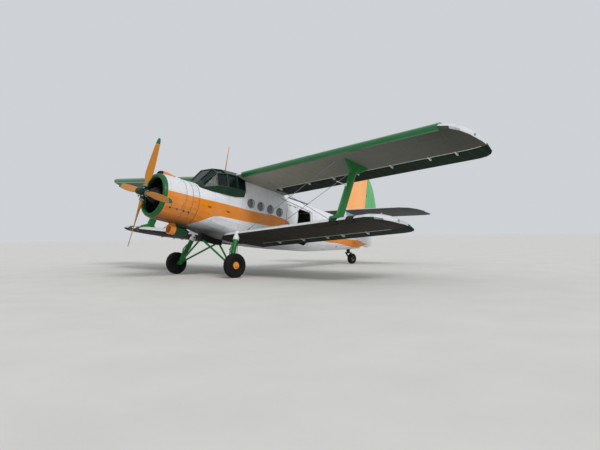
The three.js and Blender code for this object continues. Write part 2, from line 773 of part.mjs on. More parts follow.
// Interplane strut sections: up, middle aft, half chord, half thickness
const STRUT_PORT = 5300;
const STRUT = [
  [-460, 3340, 400, 36],
  [-310, 3340, 370, 38],
  [-190, 3430, 175, 58],
  [1200, 3790, 165, 58],
  [1520, 3930, 580, 38],
  [1700, 3930, 590, 36],
];
const strutRings = STRUT.map(([up, aft, halfChord, halfThickness]) => {
  const ring = [];
  for (let i = 0; i < 10; i += 1) {
    const angle = (i / 10) * Math.PI * 2;
    ring.push(P(STRUT_PORT + halfThickness * Math.sin(angle), aft + halfChord * Math.cos(angle), up));
  }
  return ring;
});

// Bracing wires: start and end, each run into the wings and trimmed there
const WIRE_RADIUS = 8;
const WIRES = [
  [P(1000, 3250, -820), P(5080, 3450, 1680)],
  [P(1000, 4100, -820), P(5080, 4400, 1680)],
  [P(900, 3900, 1480), P(5180, 3750, -470)],
];
const rise = ([from, to]) => (to.z - from.z) / (to.x - from.x);
const crossingPort = WIRES[0][0].x + (
  WIRES[2][0].z - WIRES[0][0].z + rise(WIRES[2]) * (WIRES[0][0].x - WIRES[2][0].x)
) / (rise(WIRES[0]) - rise(WIRES[2]));
const crossing = ([from, to]) => from.clone().lerp(to, (crossingPort - from.x) / (to.x - from.x));
for (const [side, parent] of SIDES) {
  place(`interplane_strut_${side}`, cut(loft(strutRings), ...wingTrim), GREEN, parent);
  const spreader = rod(
    crossing(WIRES[0]).add(P(0, -20, 0)),
    crossing(WIRES[1]).add(P(0, 20, 0)), 22, 6);
  const wires = WIRES.map(([from, to]) => rod(from, to, WIRE_RADIUS, 6));
  place(`bracing_wires_${side}`, cut(join(spreader, ...wires), ...wingTrim, bodyEnvelope), STEEL, parent);
}

// Tail surfaces. Fin stations run up from the thrust line, tailplane stations out to port.
const FIN = {
  hinge: RUDDER_HINGE,
  camber: 0,
  axisUp: 0,
  stations: [
    [1190, 8900, 12340, 150],
    [1330, 9330, 12350, 170],
    [1720, 9880, 12300, 190],
    [2450, 10040, 12090, 170],
    [3080, 10230, 11780, 120],
    [3400, 10480, 11530, 80],
    [3540, 10840, 11360, 40],
  ],
};
const RUDDER = {
  ...FIN,
  stations: [
    [320, 10200, 11700, 110],
    [460, 10200, 12080, 130],
    [1000, 10200, 12300, 150],
    ...FIN.stations.slice(2),
  ],
};
const finFrame = new THREE.Group();
finFrame.rotation.y = -Math.PI / 2;
airframe.add(finFrame);
finFrame.updateMatrix();

const TAILPLANE = {
  hinge: ELEVATOR_HINGE,
  camber: 0,
  axisUp: 0,
  stations: [
    [0, 9840, 11400, 170],
    [2850, 9900, 11400, 140],
    [3250, 10030, 11380, 110],
    [3480, 10300, 11330, 75],
    [3600, 10640, 11200, 40],
  ],
};
const ELEVATOR_ROOT = 260;
const TUBE_INNER = 94.6;

const finWhole = loftOf(between(FIN, 1190, 3540), 'fixed');
const rudderSweep = loft(foils(RUDDER).map((section) => {
  const reach = section.radius + RUNNING_GAP;
  return section.arc(reach, 0, (11 / 6) * Math.PI, 11);
}));
const finBare = cut(
  join(finWhole, mirror(finWhole, 1, 1, -1)),
  intoFrame(bodyEnvelope, finFrame),
  rudderSweep);

// The rudder hangs on tongues that reach from the fin into slots in the rudder's nose.
const TONGUES = [1560, 2700];
const TONGUE_HALF = 15;
const tongueAt = (span, front, rear, half, wide) => (
  box(span - wide, span + wide, RUDDER_HINGE + front, RUDDER_HINGE + rear, -half, half)
);
const tongues = TONGUES.map((span) => tongueAt(span, -160, 22, TONGUE_HALF, HOOK_WIDTH / 2));
const finSolid = join(finBare, ...tongues);
place('fin', finSolid, PALE_ORANGE, finFrame);
const finInAirframe = outOfFrame(finSolid, finFrame);

const rudderPivot = pivotAt(finFrame, RUDDER.stations[0][0], RUDDER_HINGE, 0);
const rudderBare = cut(
  loftOf(foils(RUDDER), 'moving'),
  ...TONGUES.map((span) => tongueAt(span, -160, 60, 150, SLOT_WIDTH / 2)));
const rudder = join(rudderBare, hingeBoss(TONGUES[0], RUDDER_HINGE, 0));
place('rudder', rudder.translate(-RUDDER.stations[0][0], -RUDDER_HINGE, 0), PALE_GREEN, rudderPivot);
const finTrim = around(finInAirframe);

for (const [side, parent] of SIDES) {
  const frame = pivotAt(parent, 0, 0, TAILPLANE_HEIGHT);
  frame.updateMatrix();
  const fixed = loftOf(between(TAILPLANE, 20, TAILPLANE_HALF_SPAN), 'fixed');
  const trimmed = cut(fixed, ...finTrim.map((shape) => intoFrame(shape, frame)));
  place(`tailplane_${side}`, trimmed, WHITE, frame);
  const pivot = pivotAt(frame, ELEVATOR_ROOT, ELEVATOR_HINGE, 0);
  const tube = rod(P(TUBE_INNER, ELEVATOR_HINGE, 0), P(ELEVATOR_ROOT + 10, ELEVATOR_HINGE, 0), 24, 8);
  const elevator = join(
    loftOf(between(TAILPLANE, ELEVATOR_ROOT, TAILPLANE_HALF_SPAN), 'moving'),
    tube);
  place(`elevator_${side}`, elevator.translate(-ELEVATOR_ROOT, -ELEVATOR_HINGE, 0), GREEN, pivot);
  const tailStrut = rod(P(300, 10420, 250), P(1750, 10380, 1720), 32, 8);
  const tailplaneSolid = outOfFrame(trimmed, frame);
  place(`tail_strut_${side}`, cut(tailStrut, bodyEnvelope, ...around(tailplaneSolid)), GREEN, parent);
}

// Cowling and engine
const COWL_SIDES = 24;
const LIP_END = 400;
const cowlLip = turned([
  [590, 340], [617, 286], [662, COWL_FRONT], [712, 305], [744, LIP_END - SEAT_GAP],
  [729, LIP_END - SEAT_GAP], [700, 350], [650, 330], [605, 430],
], COWL_SIDES);
place('cowl_lip', cowlLip, GREEN, airframe);
const cowlTube = turned([
  [744, LIP_END], [752, 520], [COWL_RADIUS, 800], [COWL_RADIUS, 1350 - SEAT_GAP],
  [COWL_RADIUS - 14, 1350 - SEAT_GAP], [738, 520], [730, LIP_END],
], COWL_SIDES);
for (const [side, parent] of SIDES) {
  place(`cowl_panel_${side}`, common(cowlTube, box(SEAT_GAP, 900, 300, 1500, -900, 900)), ORANGE, parent);
}
const cowlFlaps = turned([
  [COWL_RADIUS, 1350], [772, 1560], [COWL_RADIUS, FIREWALL - SEAT_GAP],
  [738, FIREWALL - SEAT_GAP], [740, 1350],
], COWL_SIDES);
place('cowl_flaps', cowlFlaps, ORANGE, airframe);

const crankcase = turned([
  [0, 70 + SEAT_GAP], [110, 70 + SEAT_GAP], [150, 170], [255, 330], [285, 480], [300, 560],
  [300, 980], [220, 1040], [200, FIREWALL + 10 - SEAT_GAP], [0, FIREWALL + 10 - SEAT_GAP],
], 18);
place('engine_crankcase', crankcase, GREY, airframe);

// Cylinders stand round the case on a ring; each has a barrel with fins and a head.
const ENGINE_AFT = 760;
const CYLINDER = [
  // radius, distance out from the crankshaft
  [80, 330], [98, 540], [110, 590], [64, 690],
];
const cylinderProfile = [[0, 330], ...CYLINDER, [0, 690]];
const cylinders = [turned([
  [300 + SEAT_GAP, 640], [345, 640], [345, 880], [300 + SEAT_GAP, 880],
], 18)];
for (let i = 0; i < CYLINDERS; i += 1) {
  const angle = (i / CYLINDERS) * Math.PI * 2;
  const cylinder = turned(cylinderProfile, 8).rotateX(Math.PI / 2).rotateY(angle);
  cylinders.push(cylinder.translate(0, ENGINE_AFT, 0));
}
place('engine_cylinders', join(...cylinders), DARK, airframe);

const exhaust = rod(P(-350, 1690, -660), P(-380, 2080, -900), 72, 12);
const exhaustBore = rod(P(-350, 1690, -660), P(-382, 2100, -912), 62, 12);
place('exhaust_pipe', cut(exhaust, bodyEnvelope, exhaustBore), DARK, airframe);

const oilCooler = turned([
  [0, 1240], [145, 1240], [145, 1075], [172, 1085], [180, 1370], [150, 1700], [100, 1760], [0, 1760],
], 16).translate(0, 0, -950);
const cowlFull = turned([
  [0, 260], [712, 260], [744 + SEAT_GAP, LIP_END], [752 + SEAT_GAP, 520],
  [COWL_RADIUS + SEAT_GAP, 800],
  [COWL_RADIUS + SEAT_GAP, 1350], [772 + SEAT_GAP, 1560], [COWL_RADIUS + SEAT_GAP, FIREWALL],
  [0, FIREWALL],
], COWL_SIDES);
const coolerSaddle = cut(box(-80, 80, 1100, 1500, -860, -700), cowlFull);
place('oil_cooler', join(oilCooler, coolerSaddle), GREEN, airframe);

// Air scoop sections: aft, half width, height of its top
const SCOOP = [[395, 135, 830], [480, 150, 862], [650, 150, 862], [900, 120, 822], [1320, 40, 776]];
const scoopBody = loft(SCOOP.map(([aft, halfWidth, top]) => {
  const ring = [P(halfWidth, aft, 650), P(halfWidth, aft, top - 60)];
  for (let i = 1; i < 6; i += 1) {
    const angle = (i / 6) * Math.PI;
    ring.push(P(halfWidth * Math.cos(angle), aft, top - 60 + 60 * Math.sin(angle)));
  }
  ring.push(P(-halfWidth, aft, top - 60), P(-halfWidth, aft, 650));
  return ring;
}));
const scoop = cut(scoopBody, cowlFull, bodyEnvelope, ...around(cowlLip), box(-110, 110, 380, 540, 765, 812));
place('air_scoop', scoop, ORANGE, airframe);

// Propeller: hub with four barrels, and a blade in each
const propeller = new THREE.Group();
propeller.rotation.y = PROPELLER_LEAN;
airframe.add(propeller);
const hub = [turned([
  [0, -300], [70, -290], [105, -240], [110, -90], [150, -80], [160, 40], [100, 70], [0, 70],
], 16)];
const BARREL_END = 270;
for (let i = 0; i < 4; i += 1) {
  hub.push(rod(P(0, -20, 0), P(0, -20, BARREL_END), 78, 10).rotateY(i * Math.PI / 2));
}
place('propeller_hub', join(...hub), GREEN, propeller);

// Blade sections: distance out, half chord, half thickness, pitch in degrees
const BLADE = [
  [270 + SEAT_GAP, 58, 58, 50],
  [420, 62, 50, 46],
  [700, 105, 26, 38],
  [1150, 128, 17, 29],
  [1550, 122, 11, 23],
  [1740, 90, 8, 21],
  [PROPELLER_RADIUS, 35, 5, 20],
];
for (let i = 0; i < 4; i += 1) {
  const blade = loft(BLADE.map(([out, halfChord, halfThickness, pitch]) => {
    const turn = THREE.MathUtils.degToRad(90 - pitch);
    const ring = [];
    for (let k = 0; k < 8; k += 1) {
      const angle = (k / 8) * Math.PI * 2;
      const along = halfChord * Math.cos(angle);
      const thick = halfThickness * Math.sin(angle);
      ring.push(P(
        along * Math.sin(turn) - thick * Math.cos(turn),
        -20 + along * Math.cos(turn) + thick * Math.sin(turn),
        out));
    }
    return ring;
  }));
  place(`propeller_blade_${i + 1}`, blade.rotateY(i * Math.PI / 2), OCHRE, propeller);
}

// Main gear: oleo leg, two struts to a keel bracket and an axle, one welded body a side
const HALF_TRACK = TRACK / 2;
const WHEEL_SIDES = 32;
const FLAT_SHARE = Math.cos(Math.PI / WHEEL_SIDES);
const AXLE_END = HALF_TRACK - MAIN_TYRE_WIDTH / 2 + 20;
const axleInner = P(AXLE_END - 110, MAIN_AXLE_AFT, MAIN_AXLE_UP);
const KEEL_HALF = 110;
const KEEL_FRONT = 2350;
const KEEL_REAR = 3250;
const KEEL_FOOT = -1110;
const STRUT_ROOTS = [[60, 2430, -1060], [60, 3160, -1060]];
const OLEO_TOP = [1220, 2990, -700];
const OLEO_SHARE = 0.38;
const OLEO_RADII = [86, 66];
const LEG_STRUT_RADIUS = 34;
const AXLE_STUB_RADIUS = 62;
const keelBracket = cut(
  box(-KEEL_HALF, KEEL_HALF, KEEL_FRONT, KEEL_REAR, KEEL_FOOT, -800),
  bodyEnvelope);
place('keel_bracket', keelBracket, DARK, airframe);
const legTrim = [bodyEnvelope, ...around(lowerSolid), ...around(keelBracket)];
for (const [side, parent] of SIDES) {
  const oleoTop = P(...OLEO_TOP);
  const oleoBreak = oleoTop.clone().lerp(axleInner, OLEO_SHARE);
  const stubFrom = axleInner.clone().setX(axleInner.x - 90);
  const stubTo = axleInner.clone().setX(AXLE_END - SEAT_GAP);
  const legShape = join(
    rod(oleoTop, oleoBreak, OLEO_RADII[0], 12),
    rod(oleoBreak, axleInner, OLEO_RADII[1], 12),
    ...STRUT_ROOTS.map((root) => rod(P(...root), axleInner, LEG_STRUT_RADIUS, 8)),
    rod(stubFrom, stubTo, AXLE_STUB_RADIUS, 10));
  place(`main_leg_${side}`, cut(legShape, ...legTrim), GREEN, parent);

  const wheel = pivotAt(parent, HALF_TRACK, MAIN_AXLE_AFT, MAIN_AXLE_UP);
  wheel.rotation.x = GROUND_ANGLE;
  const [r, w] = [MAIN_TYRE_RADIUS / FLAT_SHARE, MAIN_TYRE_WIDTH / 2];
  const tyre = wheelOf([
    [210, -w + 40], [300, -w], [365, -w + 20], [r, -w + 75], [r, w - 75],
    [365, w - 20], [300, w], [210, w - 40],
  ], WHEEL_SIDES);
  place(`tyre_${side}`, tyre, RUBBER, wheel);
  const hubShape = wheelOf([
    [0, -w + 20], [90, -w + 20], [110, -w + 50], [210 - SEAT_GAP, -w + 42],
    [210 - SEAT_GAP, w - 42], [120, w - 55], [100, w - 5], [0, w + 12],
  ], WHEEL_SIDES);
  place(`wheel_hub_${side}`, hubShape, ORANGE, wheel);
}

// Tail wheel: the castor's own frame is square to the ground, so that it turns upright.
const axleGround = P(0, MAIN_AXLE_AFT, MAIN_AXLE_UP).applyEuler(airframe.rotation);
const tailAxle = P(0, axleGround.y + WHEELBASE, axleGround.z - MAIN_TYRE_RADIUS + TAIL_TYRE_RADIUS)
  .applyEuler(new THREE.Euler(GROUND_ANGLE, 0, 0));
const castor = new THREE.Group();
castor.position.copy(tailAxle);
castor.rotation.x = GROUND_ANGLE;
airframe.add(castor);
const swivel = pivotAt(castor, 0, -TAIL_TRAIL, 0);
const CROWN_LOW = TAIL_TYRE_RADIUS + 15;
const CROWN_HIGH = CROWN_LOW + 45;
const armPort = TAIL_TYRE_WIDTH / 2 + 12;
const arms = [1, -1].flatMap((turn) => [
  loft([armPort, armPort + 26].map((port) => [
    P(turn * port, -40, CROWN_LOW), P(turn * port, 60, CROWN_LOW),
    P(turn * port, TAIL_TRAIL + 40, -20), P(turn * port, TAIL_TRAIL, -40),
    P(turn * port, TAIL_TRAIL - 40, -20),
  ])),
  rod(P(turn * (60 + SEAT_GAP), TAIL_TRAIL, 0), P(turn * (armPort + 10), TAIL_TRAIL, 0), 22, 10),
]);
const fork = join(
  box(-armPort - 26, armPort + 26, -60, 80, CROWN_LOW - 5, CROWN_HIGH),
  ...arms);
place('tail_fork', fork, GREEN, swivel);
castor.updateMatrix();
const tailPost = rod(P(0, -TAIL_TRAIL, CROWN_HIGH + SEAT_GAP), P(0, -TAIL_TRAIL, 520), 80, 16);
place('tail_leg', cut(tailPost, intoFrame(bodyEnvelope, castor)), GREEN, castor);

const tailWheel = pivotAt(swivel, 0, TAIL_TRAIL, 0);
const [tr, tw] = [TAIL_TYRE_RADIUS / FLAT_SHARE, TAIL_TYRE_WIDTH / 2];
const tailTyre = wheelOf([
  [115, -tw + 35], [180, -tw], [tr, -tw + 50],
  [tr, tw - 50], [180, tw], [115, tw - 35],
], WHEEL_SIDES);
const tailHub = wheelOf([
  [0, -60], [45, -60], [120, -45], [120, 45], [45, 60], [0, 60],
], WHEEL_SIDES);
place('tail_wheel', join(tailTyre, tailHub), RUBBER, tailWheel);

// Aerial mast on the canopy roof
const mast = rod(P(0, 2990, 1450), P(0, 3000, 2490), 24, 10, 9);
place('aerial_mast', cut(mast, canopyEnvelope), OCHRE, airframe);

// Stands the airframe on its wheels, with the origin under the middle of its box.
stand.updateMatrixWorld(true);
const reach = new THREE.Box3().setFromObject(stand, true);
const middle = reach.getCenter(new THREE.Vector3());
const group = new THREE.Group();
group.add(stand);
stand.position.set(-middle.x, -middle.y, MAIN_TYRE_RADIUS - axleGround.z);
group.updateMatrixWorld(true);

export default group;
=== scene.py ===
import json
from math import cos, hypot, pi, radians, sin, sqrt
from types import SimpleNamespace

import bpy
import bmesh
from mathutils import Matrix, Vector
from mathutils.bvhtree import BVHTree


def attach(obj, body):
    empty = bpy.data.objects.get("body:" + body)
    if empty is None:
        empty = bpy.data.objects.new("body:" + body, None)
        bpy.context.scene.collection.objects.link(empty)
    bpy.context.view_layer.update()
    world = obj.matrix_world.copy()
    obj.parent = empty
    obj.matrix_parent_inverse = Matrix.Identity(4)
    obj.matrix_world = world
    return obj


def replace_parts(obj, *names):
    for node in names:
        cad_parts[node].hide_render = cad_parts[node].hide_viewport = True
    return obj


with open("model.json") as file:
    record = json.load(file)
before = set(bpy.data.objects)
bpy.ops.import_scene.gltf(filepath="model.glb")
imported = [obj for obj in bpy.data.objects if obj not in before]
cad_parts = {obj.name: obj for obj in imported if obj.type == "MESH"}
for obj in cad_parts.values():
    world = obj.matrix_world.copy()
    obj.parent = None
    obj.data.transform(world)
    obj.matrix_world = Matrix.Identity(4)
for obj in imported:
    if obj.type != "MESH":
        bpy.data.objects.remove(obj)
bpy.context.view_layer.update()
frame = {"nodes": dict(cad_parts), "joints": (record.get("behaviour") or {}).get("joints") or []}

# the airframe's own axes: port, aft of the propeller disc, up from the thrust line
spinJoint = next(j for j in frame["joints"] if j["name"] == "propeller_spin")
airOrigin = Vector(spinJoint["pos_m"])
aftWay = Vector(spinJoint["axis"]).normalized()
portWay = Vector((1, 0, 0))
upWay = portWay.cross(aftWay)
fullTurn = 2 * pi


def air(port, aft, up):
    return airOrigin + port * portWay + aft * aftWay + up * upWay


def lerp(a, b, share):
    return a + (b - a) * share


def smoothRows(rows, steps):
    # a table drawn smoothly through its rows, at even steps of its first column
    result = []
    for step in range(steps + 1):
        at = lerp(rows[0][0], rows[-1][0], step / steps)
        k = max(i for i in range(len(rows) - 1) if rows[i][0] <= at + 1e-9)
        low, high = rows[k], rows[k + 1]
        before, after = rows[max(k - 1, 0)], rows[min(k + 2, len(rows) - 1)]
        gap = high[0] - low[0]
        t = (at - low[0]) / gap
        row = [at]
        for c in range(1, len(low)):
            slopeLow = (high[c] - before[c]) / (high[0] - before[0])
            slopeHigh = (after[c] - low[c]) / (after[0] - low[0])
            row.append((2 * t ** 3 - 3 * t ** 2 + 1) * low[c] + (t ** 3 - 2 * t ** 2 + t) * gap * slopeLow
                       + (3 * t ** 2 - 2 * t ** 3) * high[c] + (t ** 3 - t ** 2) * gap * slopeHigh)
        result.append(row)
    return result


# The wings' own frames: where the leading edge starts, how it rises and how it is set
wings = {
    "upper": {"leading": 3.0, "height": 1.3, "dihedral": 4.2, "incidence": 3.0},
    "lower": {"leading": 2.92, "height": -0.86, "dihedral": 4.2, "incidence": 1.0},
}
sides = {"left": 1, "right": -1}


def onWing(which, side, span, aft, rise):
    # a wing's own measures: out along it, back from its leading edge, up off its chord
    wing = wings[which]
    dihedral, incidence = radians(wing["dihedral"]), radians(wing["incidence"])
    back = aft * cos(incidence) + rise * sin(incidence)
    lift = rise * cos(incidence) - aft * sin(incidence)
    out = span * cos(dihedral) - lift * sin(dihedral)
    return air(sides[side] * out, wing["leading"] + back,
               wing["height"] + span * sin(dihedral) + lift * cos(dihedral))


def skinOf(*nodeNames):
    points, faces = [], []
    for nodeName in nodeNames:
        mesh = frame["nodes"][nodeName].data
        first = len(points)
        points += [v.co.copy() for v in mesh.vertices]
        faces += [[first + i for i in p.vertices] for p in mesh.polygons]
    return BVHTree.FromPolygons(points, faces)


def dropOn(skin, start, direction, reach=20.0):
    # where a straight line from the start first meets the skin, and which way the skin faces
    for nudge in (Vector(), portWay * 0.002, aftWay * 0.002, upWay * -0.002):
        spot, normal, _, _ = skin.ray_cast(start + nudge, direction.normalized(), reach)
        if spot is not None:
            return spot - nudge, (normal if normal.dot(direction) < 0 else -normal)
    return None, None


def onSide(skin, side, aft, up):
    # the place on the skin at one side of the fuselage
    return dropOn(skin, air(sides[side] * 4, aft, up), -portWay * sides[side])


def onRound(skin, aft, turn, radius=3.0):
    # the place on the skin at an angle round the thrust line, from straight up towards port
    out = portWay * sin(turn) + upWay * cos(turn)
    return dropOn(skin, airOrigin + aftWay * aft + out * radius, -out)


# Mesh making: a shape is a list of points and a list of faces, filled by the add functions
def newShape():
    return {"points": [], "faces": []}


def newShapes(count):
    return [newShape() for _ in range(count)]


def addRings(shape, rings, caps=(True, True)):
    first = len(shape["points"])
    count = len(rings[0])
    for ring in rings:
        shape["points"].extend(ring)
    for r in range(len(rings) - 1):
        a = first + r * count
        for i in range(count):
            j = (i + 1) % count
            shape["faces"].append((a + i, a + j, a + count + j, a + count + i))
    if caps[0]:
        shape["faces"].append(tuple(reversed(range(first, first + count))))
    if caps[1]:
        last = first + (len(rings) - 1) * count
        shape["faces"].append(tuple(range(last, last + count)))


def sideways(direction):
    # two directions square to the given one
    other = Vector((0, 0, 1)) if abs(direction.z) < 0.9 else Vector((1, 0, 0))
    u = direction.cross(other).normalized()
    return u, direction.cross(u).normalized()


def circle(centre, u, v, radius, sides, start=0.0):
    turns = [start + fullTurn * i / sides for i in range(sides)]
    return [centre + (u * cos(t) + v * sin(t)) * radius for t in turns]


def addTube(shape, start, end, radius, sides=12, endRadius=None):
    u, v = sideways((end - start).normalized())
    last = radius if endRadius is None else endRadius
    addRings(shape, [circle(start, u, v, radius, sides), circle(end, u, v, last, sides)])


def addBolts(shape, spots, reach, radius):
    for spot in spots:
        addTube(shape, spot, spot + reach, radius, 6)


def addPath(shape, points, radius, sides=8):
    # a round bar along a line of points, its rings square to the way it runs
    u, v = sideways((points[1] - points[0]).normalized())
    rings = []
    for i, point in enumerate(points):
        along = (points[min(i + 1, len(points) - 1)] - points[max(i - 1, 0)]).normalized()
        u = (u - along * u.dot(along)).normalized()
        v = along.cross(u)
        rings.append(circle(point, u, v, radius, sides))
    addRings(shape, rings)


def addTurned(shape, profile, origin, axis, sides=32):
    # profile rows: radius, distance along the axis; a radius of 0 closes the end
    u, v = sideways(axis)
    rings = [circle(origin + axis * along, u, v, max(radius, 1e-4), sides) for radius, along in profile]
    closed = profile[0] == profile[-1]
    addRings(shape, rings, (not closed, not closed))


def addBox(shape, centre, size, axes=None):
    px, ay, uz = axes or (portWay, aftWay, upWay)
    half = [s / 2 for s in size]
    rings = []
    for side in (-1, 1):
        rings.append([centre + px * half[0] * a + ay * half[1] * b + uz * half[2] * side
                      for a, b in ((-1, -1), (1, -1), (1, 1), (-1, 1))])
    addRings(shape, rings)


def addDome(shape, centre, outward, radius, height, sides=6):
    u, v = sideways(outward)
    base = circle(centre, u, v, radius, sides)
    crown = circle(centre + outward * height, u, v, radius * 0.55, sides)
    addRings(shape, [base, crown])


def addSheet(shape, rows, thick, closed=False, sunk=0.0015):
    # a thin plate laid on a surface: rows of (spot, normal); its back lies just under the surface
    count = len(rows[0])
    first = len(shape["points"])
    for lift in (thick, -sunk):
        for row in rows:
            shape["points"].extend(spot + normal * lift for spot, normal in row)
    back = first + len(rows) * count

    def at(layer, r, i):
        return layer + r * count + i % count

    spans = count if closed else count - 1
    faces = shape["faces"]
    for r in range(len(rows) - 1):
        for i in range(spans):
            faces.append((at(first, r, i), at(first, r, i + 1), at(first, r + 1, i + 1), at(first, r + 1, i)))
            faces.append((at(back, r + 1, i), at(back, r + 1, i + 1), at(back, r, i + 1), at(back, r, i)))
        if not closed:
            for i in (0, count - 1):
                faces.append((at(first, r, i), at(first, r + 1, i), at(back, r + 1, i), at(back, r, i)))
    for r in (0, len(rows) - 1):
        for i in range(spans):
            faces.append((at(first, r, i), at(back, r, i), at(back, r, i + 1), at(first, r, i + 1)))


def addFoundSheet(shape, rows, thick):
    # the same, without the places where the line missed the surface
    good = [i for i in range(len(rows[0])) if all(row[i][0] is not None for row in rows)]
    if len(good) > 1:
        addSheet(shape, [[row[i] for i in good] for row in rows], thick)


def sideStrip(shape, skin, side, points, width, thick, pitch=0.05):
    # a narrow plate along a line of (aft, up) points on one side
    for (a0, u0), (a1, u1) in zip(points, points[1:]):
        length = hypot(a1 - a0, u1 - u0)
        steps = max(1, round(length / pitch))
        da, du = -(u1 - u0) / length * width / 2, (a1 - a0) / length * width / 2
        rows = ([], [])
        for i in range(steps + 1):
            a, u = lerp(a0, a1, i / steps), lerp(u0, u1, i / steps)
            for row, way in zip(rows, (-1, 1)):
                row.append(onSide(skin, side, a + da * way, u + du * way))
        if all(spot is not None for row in rows for spot, _ in row):
            addSheet(shape, rows, thick)


def roundStrip(shape, skin, aft, width, thick, steps=72):
    rows = [[onRound(skin, aft + way * width / 2, fullTurn * i / steps) for i in range(steps)]
            for way in (-1, 1)]
    addSheet(shape, rows, thick, closed=True)


def softEdges(piece, angle=32):
    for polygon in piece.data.polygons:
        polygon.use_smooth = True
    split = piece.modifiers.new("sharp edges", "EDGE_SPLIT")
    split.split_angle = radians(angle)


def makePiece(shape, name, material, angle=32, bevel=0.0, body="airframe"):
    mesh = bpy.data.meshes.new(name)
    mesh.from_pydata([tuple(p) for p in shape["points"]], [], shape["faces"])
    work = bmesh.new()
    work.from_mesh(mesh)
    bmesh.ops.remove_doubles(work, verts=work.verts, dist=2e-5)
    bmesh.ops.recalc_face_normals(work, faces=work.faces)
    work.to_mesh(mesh)
    work.free()
    piece = bpy.data.objects.new(name, mesh)
    bpy.context.scene.collection.objects.link(piece)
    piece.data.materials.append(material)
    if bevel:
        edge = piece.modifiers.new("edges", "BEVEL")
        edge.width = bevel
        edge.segments = 2
        edge.limit_method = "ANGLE"
        edge.angle_limit = radians(35)
    softEdges(piece, angle)
    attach(piece, body)
    return piece


# Finishes: a colour is three channels and 1, a mask runs from 0 to 1
def linear(hexColour):
    def channel(value):
        value /= 255
        return value / 12.92 if value <= 0.04045 else ((value + 0.055) / 1.055) ** 2.4
    return (*[channel(hexColour >> shift & 255) for shift in (16, 8, 0)], 1.0)


def tinted(colour, factor):
    return (*[min(1.0, c * factor) for c in colour[:3]], 1.0)


def newFinish(name):
    material = bpy.data.materials.new(name)
    material.use_nodes = True
    tree = material.node_tree
    place = tree.nodes.new("ShaderNodeTexCoord").outputs["Object"]
    return SimpleNamespace(material=material, tree=tree, place=place, shader=tree.nodes["Principled BSDF"])


def feed(finish, node, inputs):
    # a socket takes a constant or the output of another node
    for socket, value in inputs.items():
        if isinstance(value, bpy.types.NodeSocket):
            finish.tree.links.new(value, node.inputs[socket])
        elif value is not None:
            node.inputs[socket].default_value = value


def coated(finish, inputs):
    feed(finish, finish.shader, inputs)
    return finish.material


def addNode(finish, kind, inputs, output=0, **settings):
    node = finish.tree.nodes.new("ShaderNode" + kind)
    for key, value in settings.items():
        setattr(node, key, value)
    feed(finish, node, inputs)
    return node.outputs[output]


def noiseNode(finish, scale, detail=4.0, rough=0.55, place=None):
    return addNode(finish, "TexNoise", {"Vector": place or finish.place, "Scale": scale, "Detail": detail,
                                        "Roughness": rough}, "Fac")


def rangeNode(finish, value, fromLow, fromHigh, toLow=0.0, toHigh=1.0):
    return addNode(finish, "MapRange", {"Value": value, "From Min": fromLow, "From Max": fromHigh,
                                        "To Min": toLow, "To Max": toHigh}, "Result")


def pastNode(finish, value, at, soft=0.004):
    # 0 below a measure and 1 above it, or the other way round where soft is negative
    return rangeNode(finish, value, at - soft, at + soft)


def mathNode(finish, operation, a, b=None):
    return addNode(finish, "Math", {0: a, 1: b}, operation=operation)


def product(finish, a, b):
    return mathNode(finish, "MULTIPLY", a, b)


def difference(finish, a, b):
    return mathNode(finish, "SUBTRACT", a, b)


def size(finish, a):
    return mathNode(finish, "ABSOLUTE", a)


def mixColour(finish, factor, a, b):
    return addNode(finish, "Mix", {"Factor": factor, "A": a, "B": b}, "Result", data_type="RGBA")


def bumpNode(finish, height, strength, distance, below=None):
    return addNode(finish, "Bump", {"Height": height, "Strength": strength, "Distance": distance,
                                    "Normal": below}, "Normal")


def vectorNode(finish, operation, a, b, output="Value"):
    return addNode(finish, "VectorMath", {0: a, 1: b}, output, operation=operation)


def airReading(finish, way, origin=airOrigin):
    # the distance of the shaded point from the origin along one way, in metres
    apart = vectorNode(finish, "SUBTRACT", finish.place, origin, "Vector")
    return vectorNode(finish, "DOT_PRODUCT", apart, way)


def facing(finish, way):
    # how far the surface itself faces one way, from -1 to 1
    return vectorNode(finish, "DOT_PRODUCT", addNode(finish, "NewGeometry", {}, "Normal"), way)


paintLook = {
    "cloud": (1.3, 5),            # broad fading of the colour: clouds per metre, detail
    "cloudDepth": 0.10,
    "grime": (9.0, 8, 0.68),
    "grimeDepth": 0.14,
    "peel": (240.0, 2),
    "peelDepth": 0.0006,
    "specular": 0.28,
    # near-black painted shade for the inside of an opening
    "paintedShade": 0x050505,
}


def shifted(finish, colour, saturation, value):
    return addNode(finish, "HueSaturation",
                   {"Color": colour, "Saturation": saturation, "Value": value}, "Color")


def weathered(finish, colour):
    # the paint's colour with broad fading and small stains; returns the colour and the stain mask
    look = paintLook
    fade = rangeNode(finish, noiseNode(finish, *look["cloud"]), 0.35, 0.7)
    stain = rangeNode(finish, noiseNode(finish, *look["grime"]), 0.52, 0.78)
    mixed = mixColour(finish, fade, colour,
                      shifted(finish, colour, 1 - look["cloudDepth"], 1 + look["cloudDepth"] / 2))
    dirty = shifted(finish, mixed, 0.85, 1 - 2 * look["grimeDepth"])
    return mixColour(finish, product(finish, stain, 0.6), mixed, dirty), stain


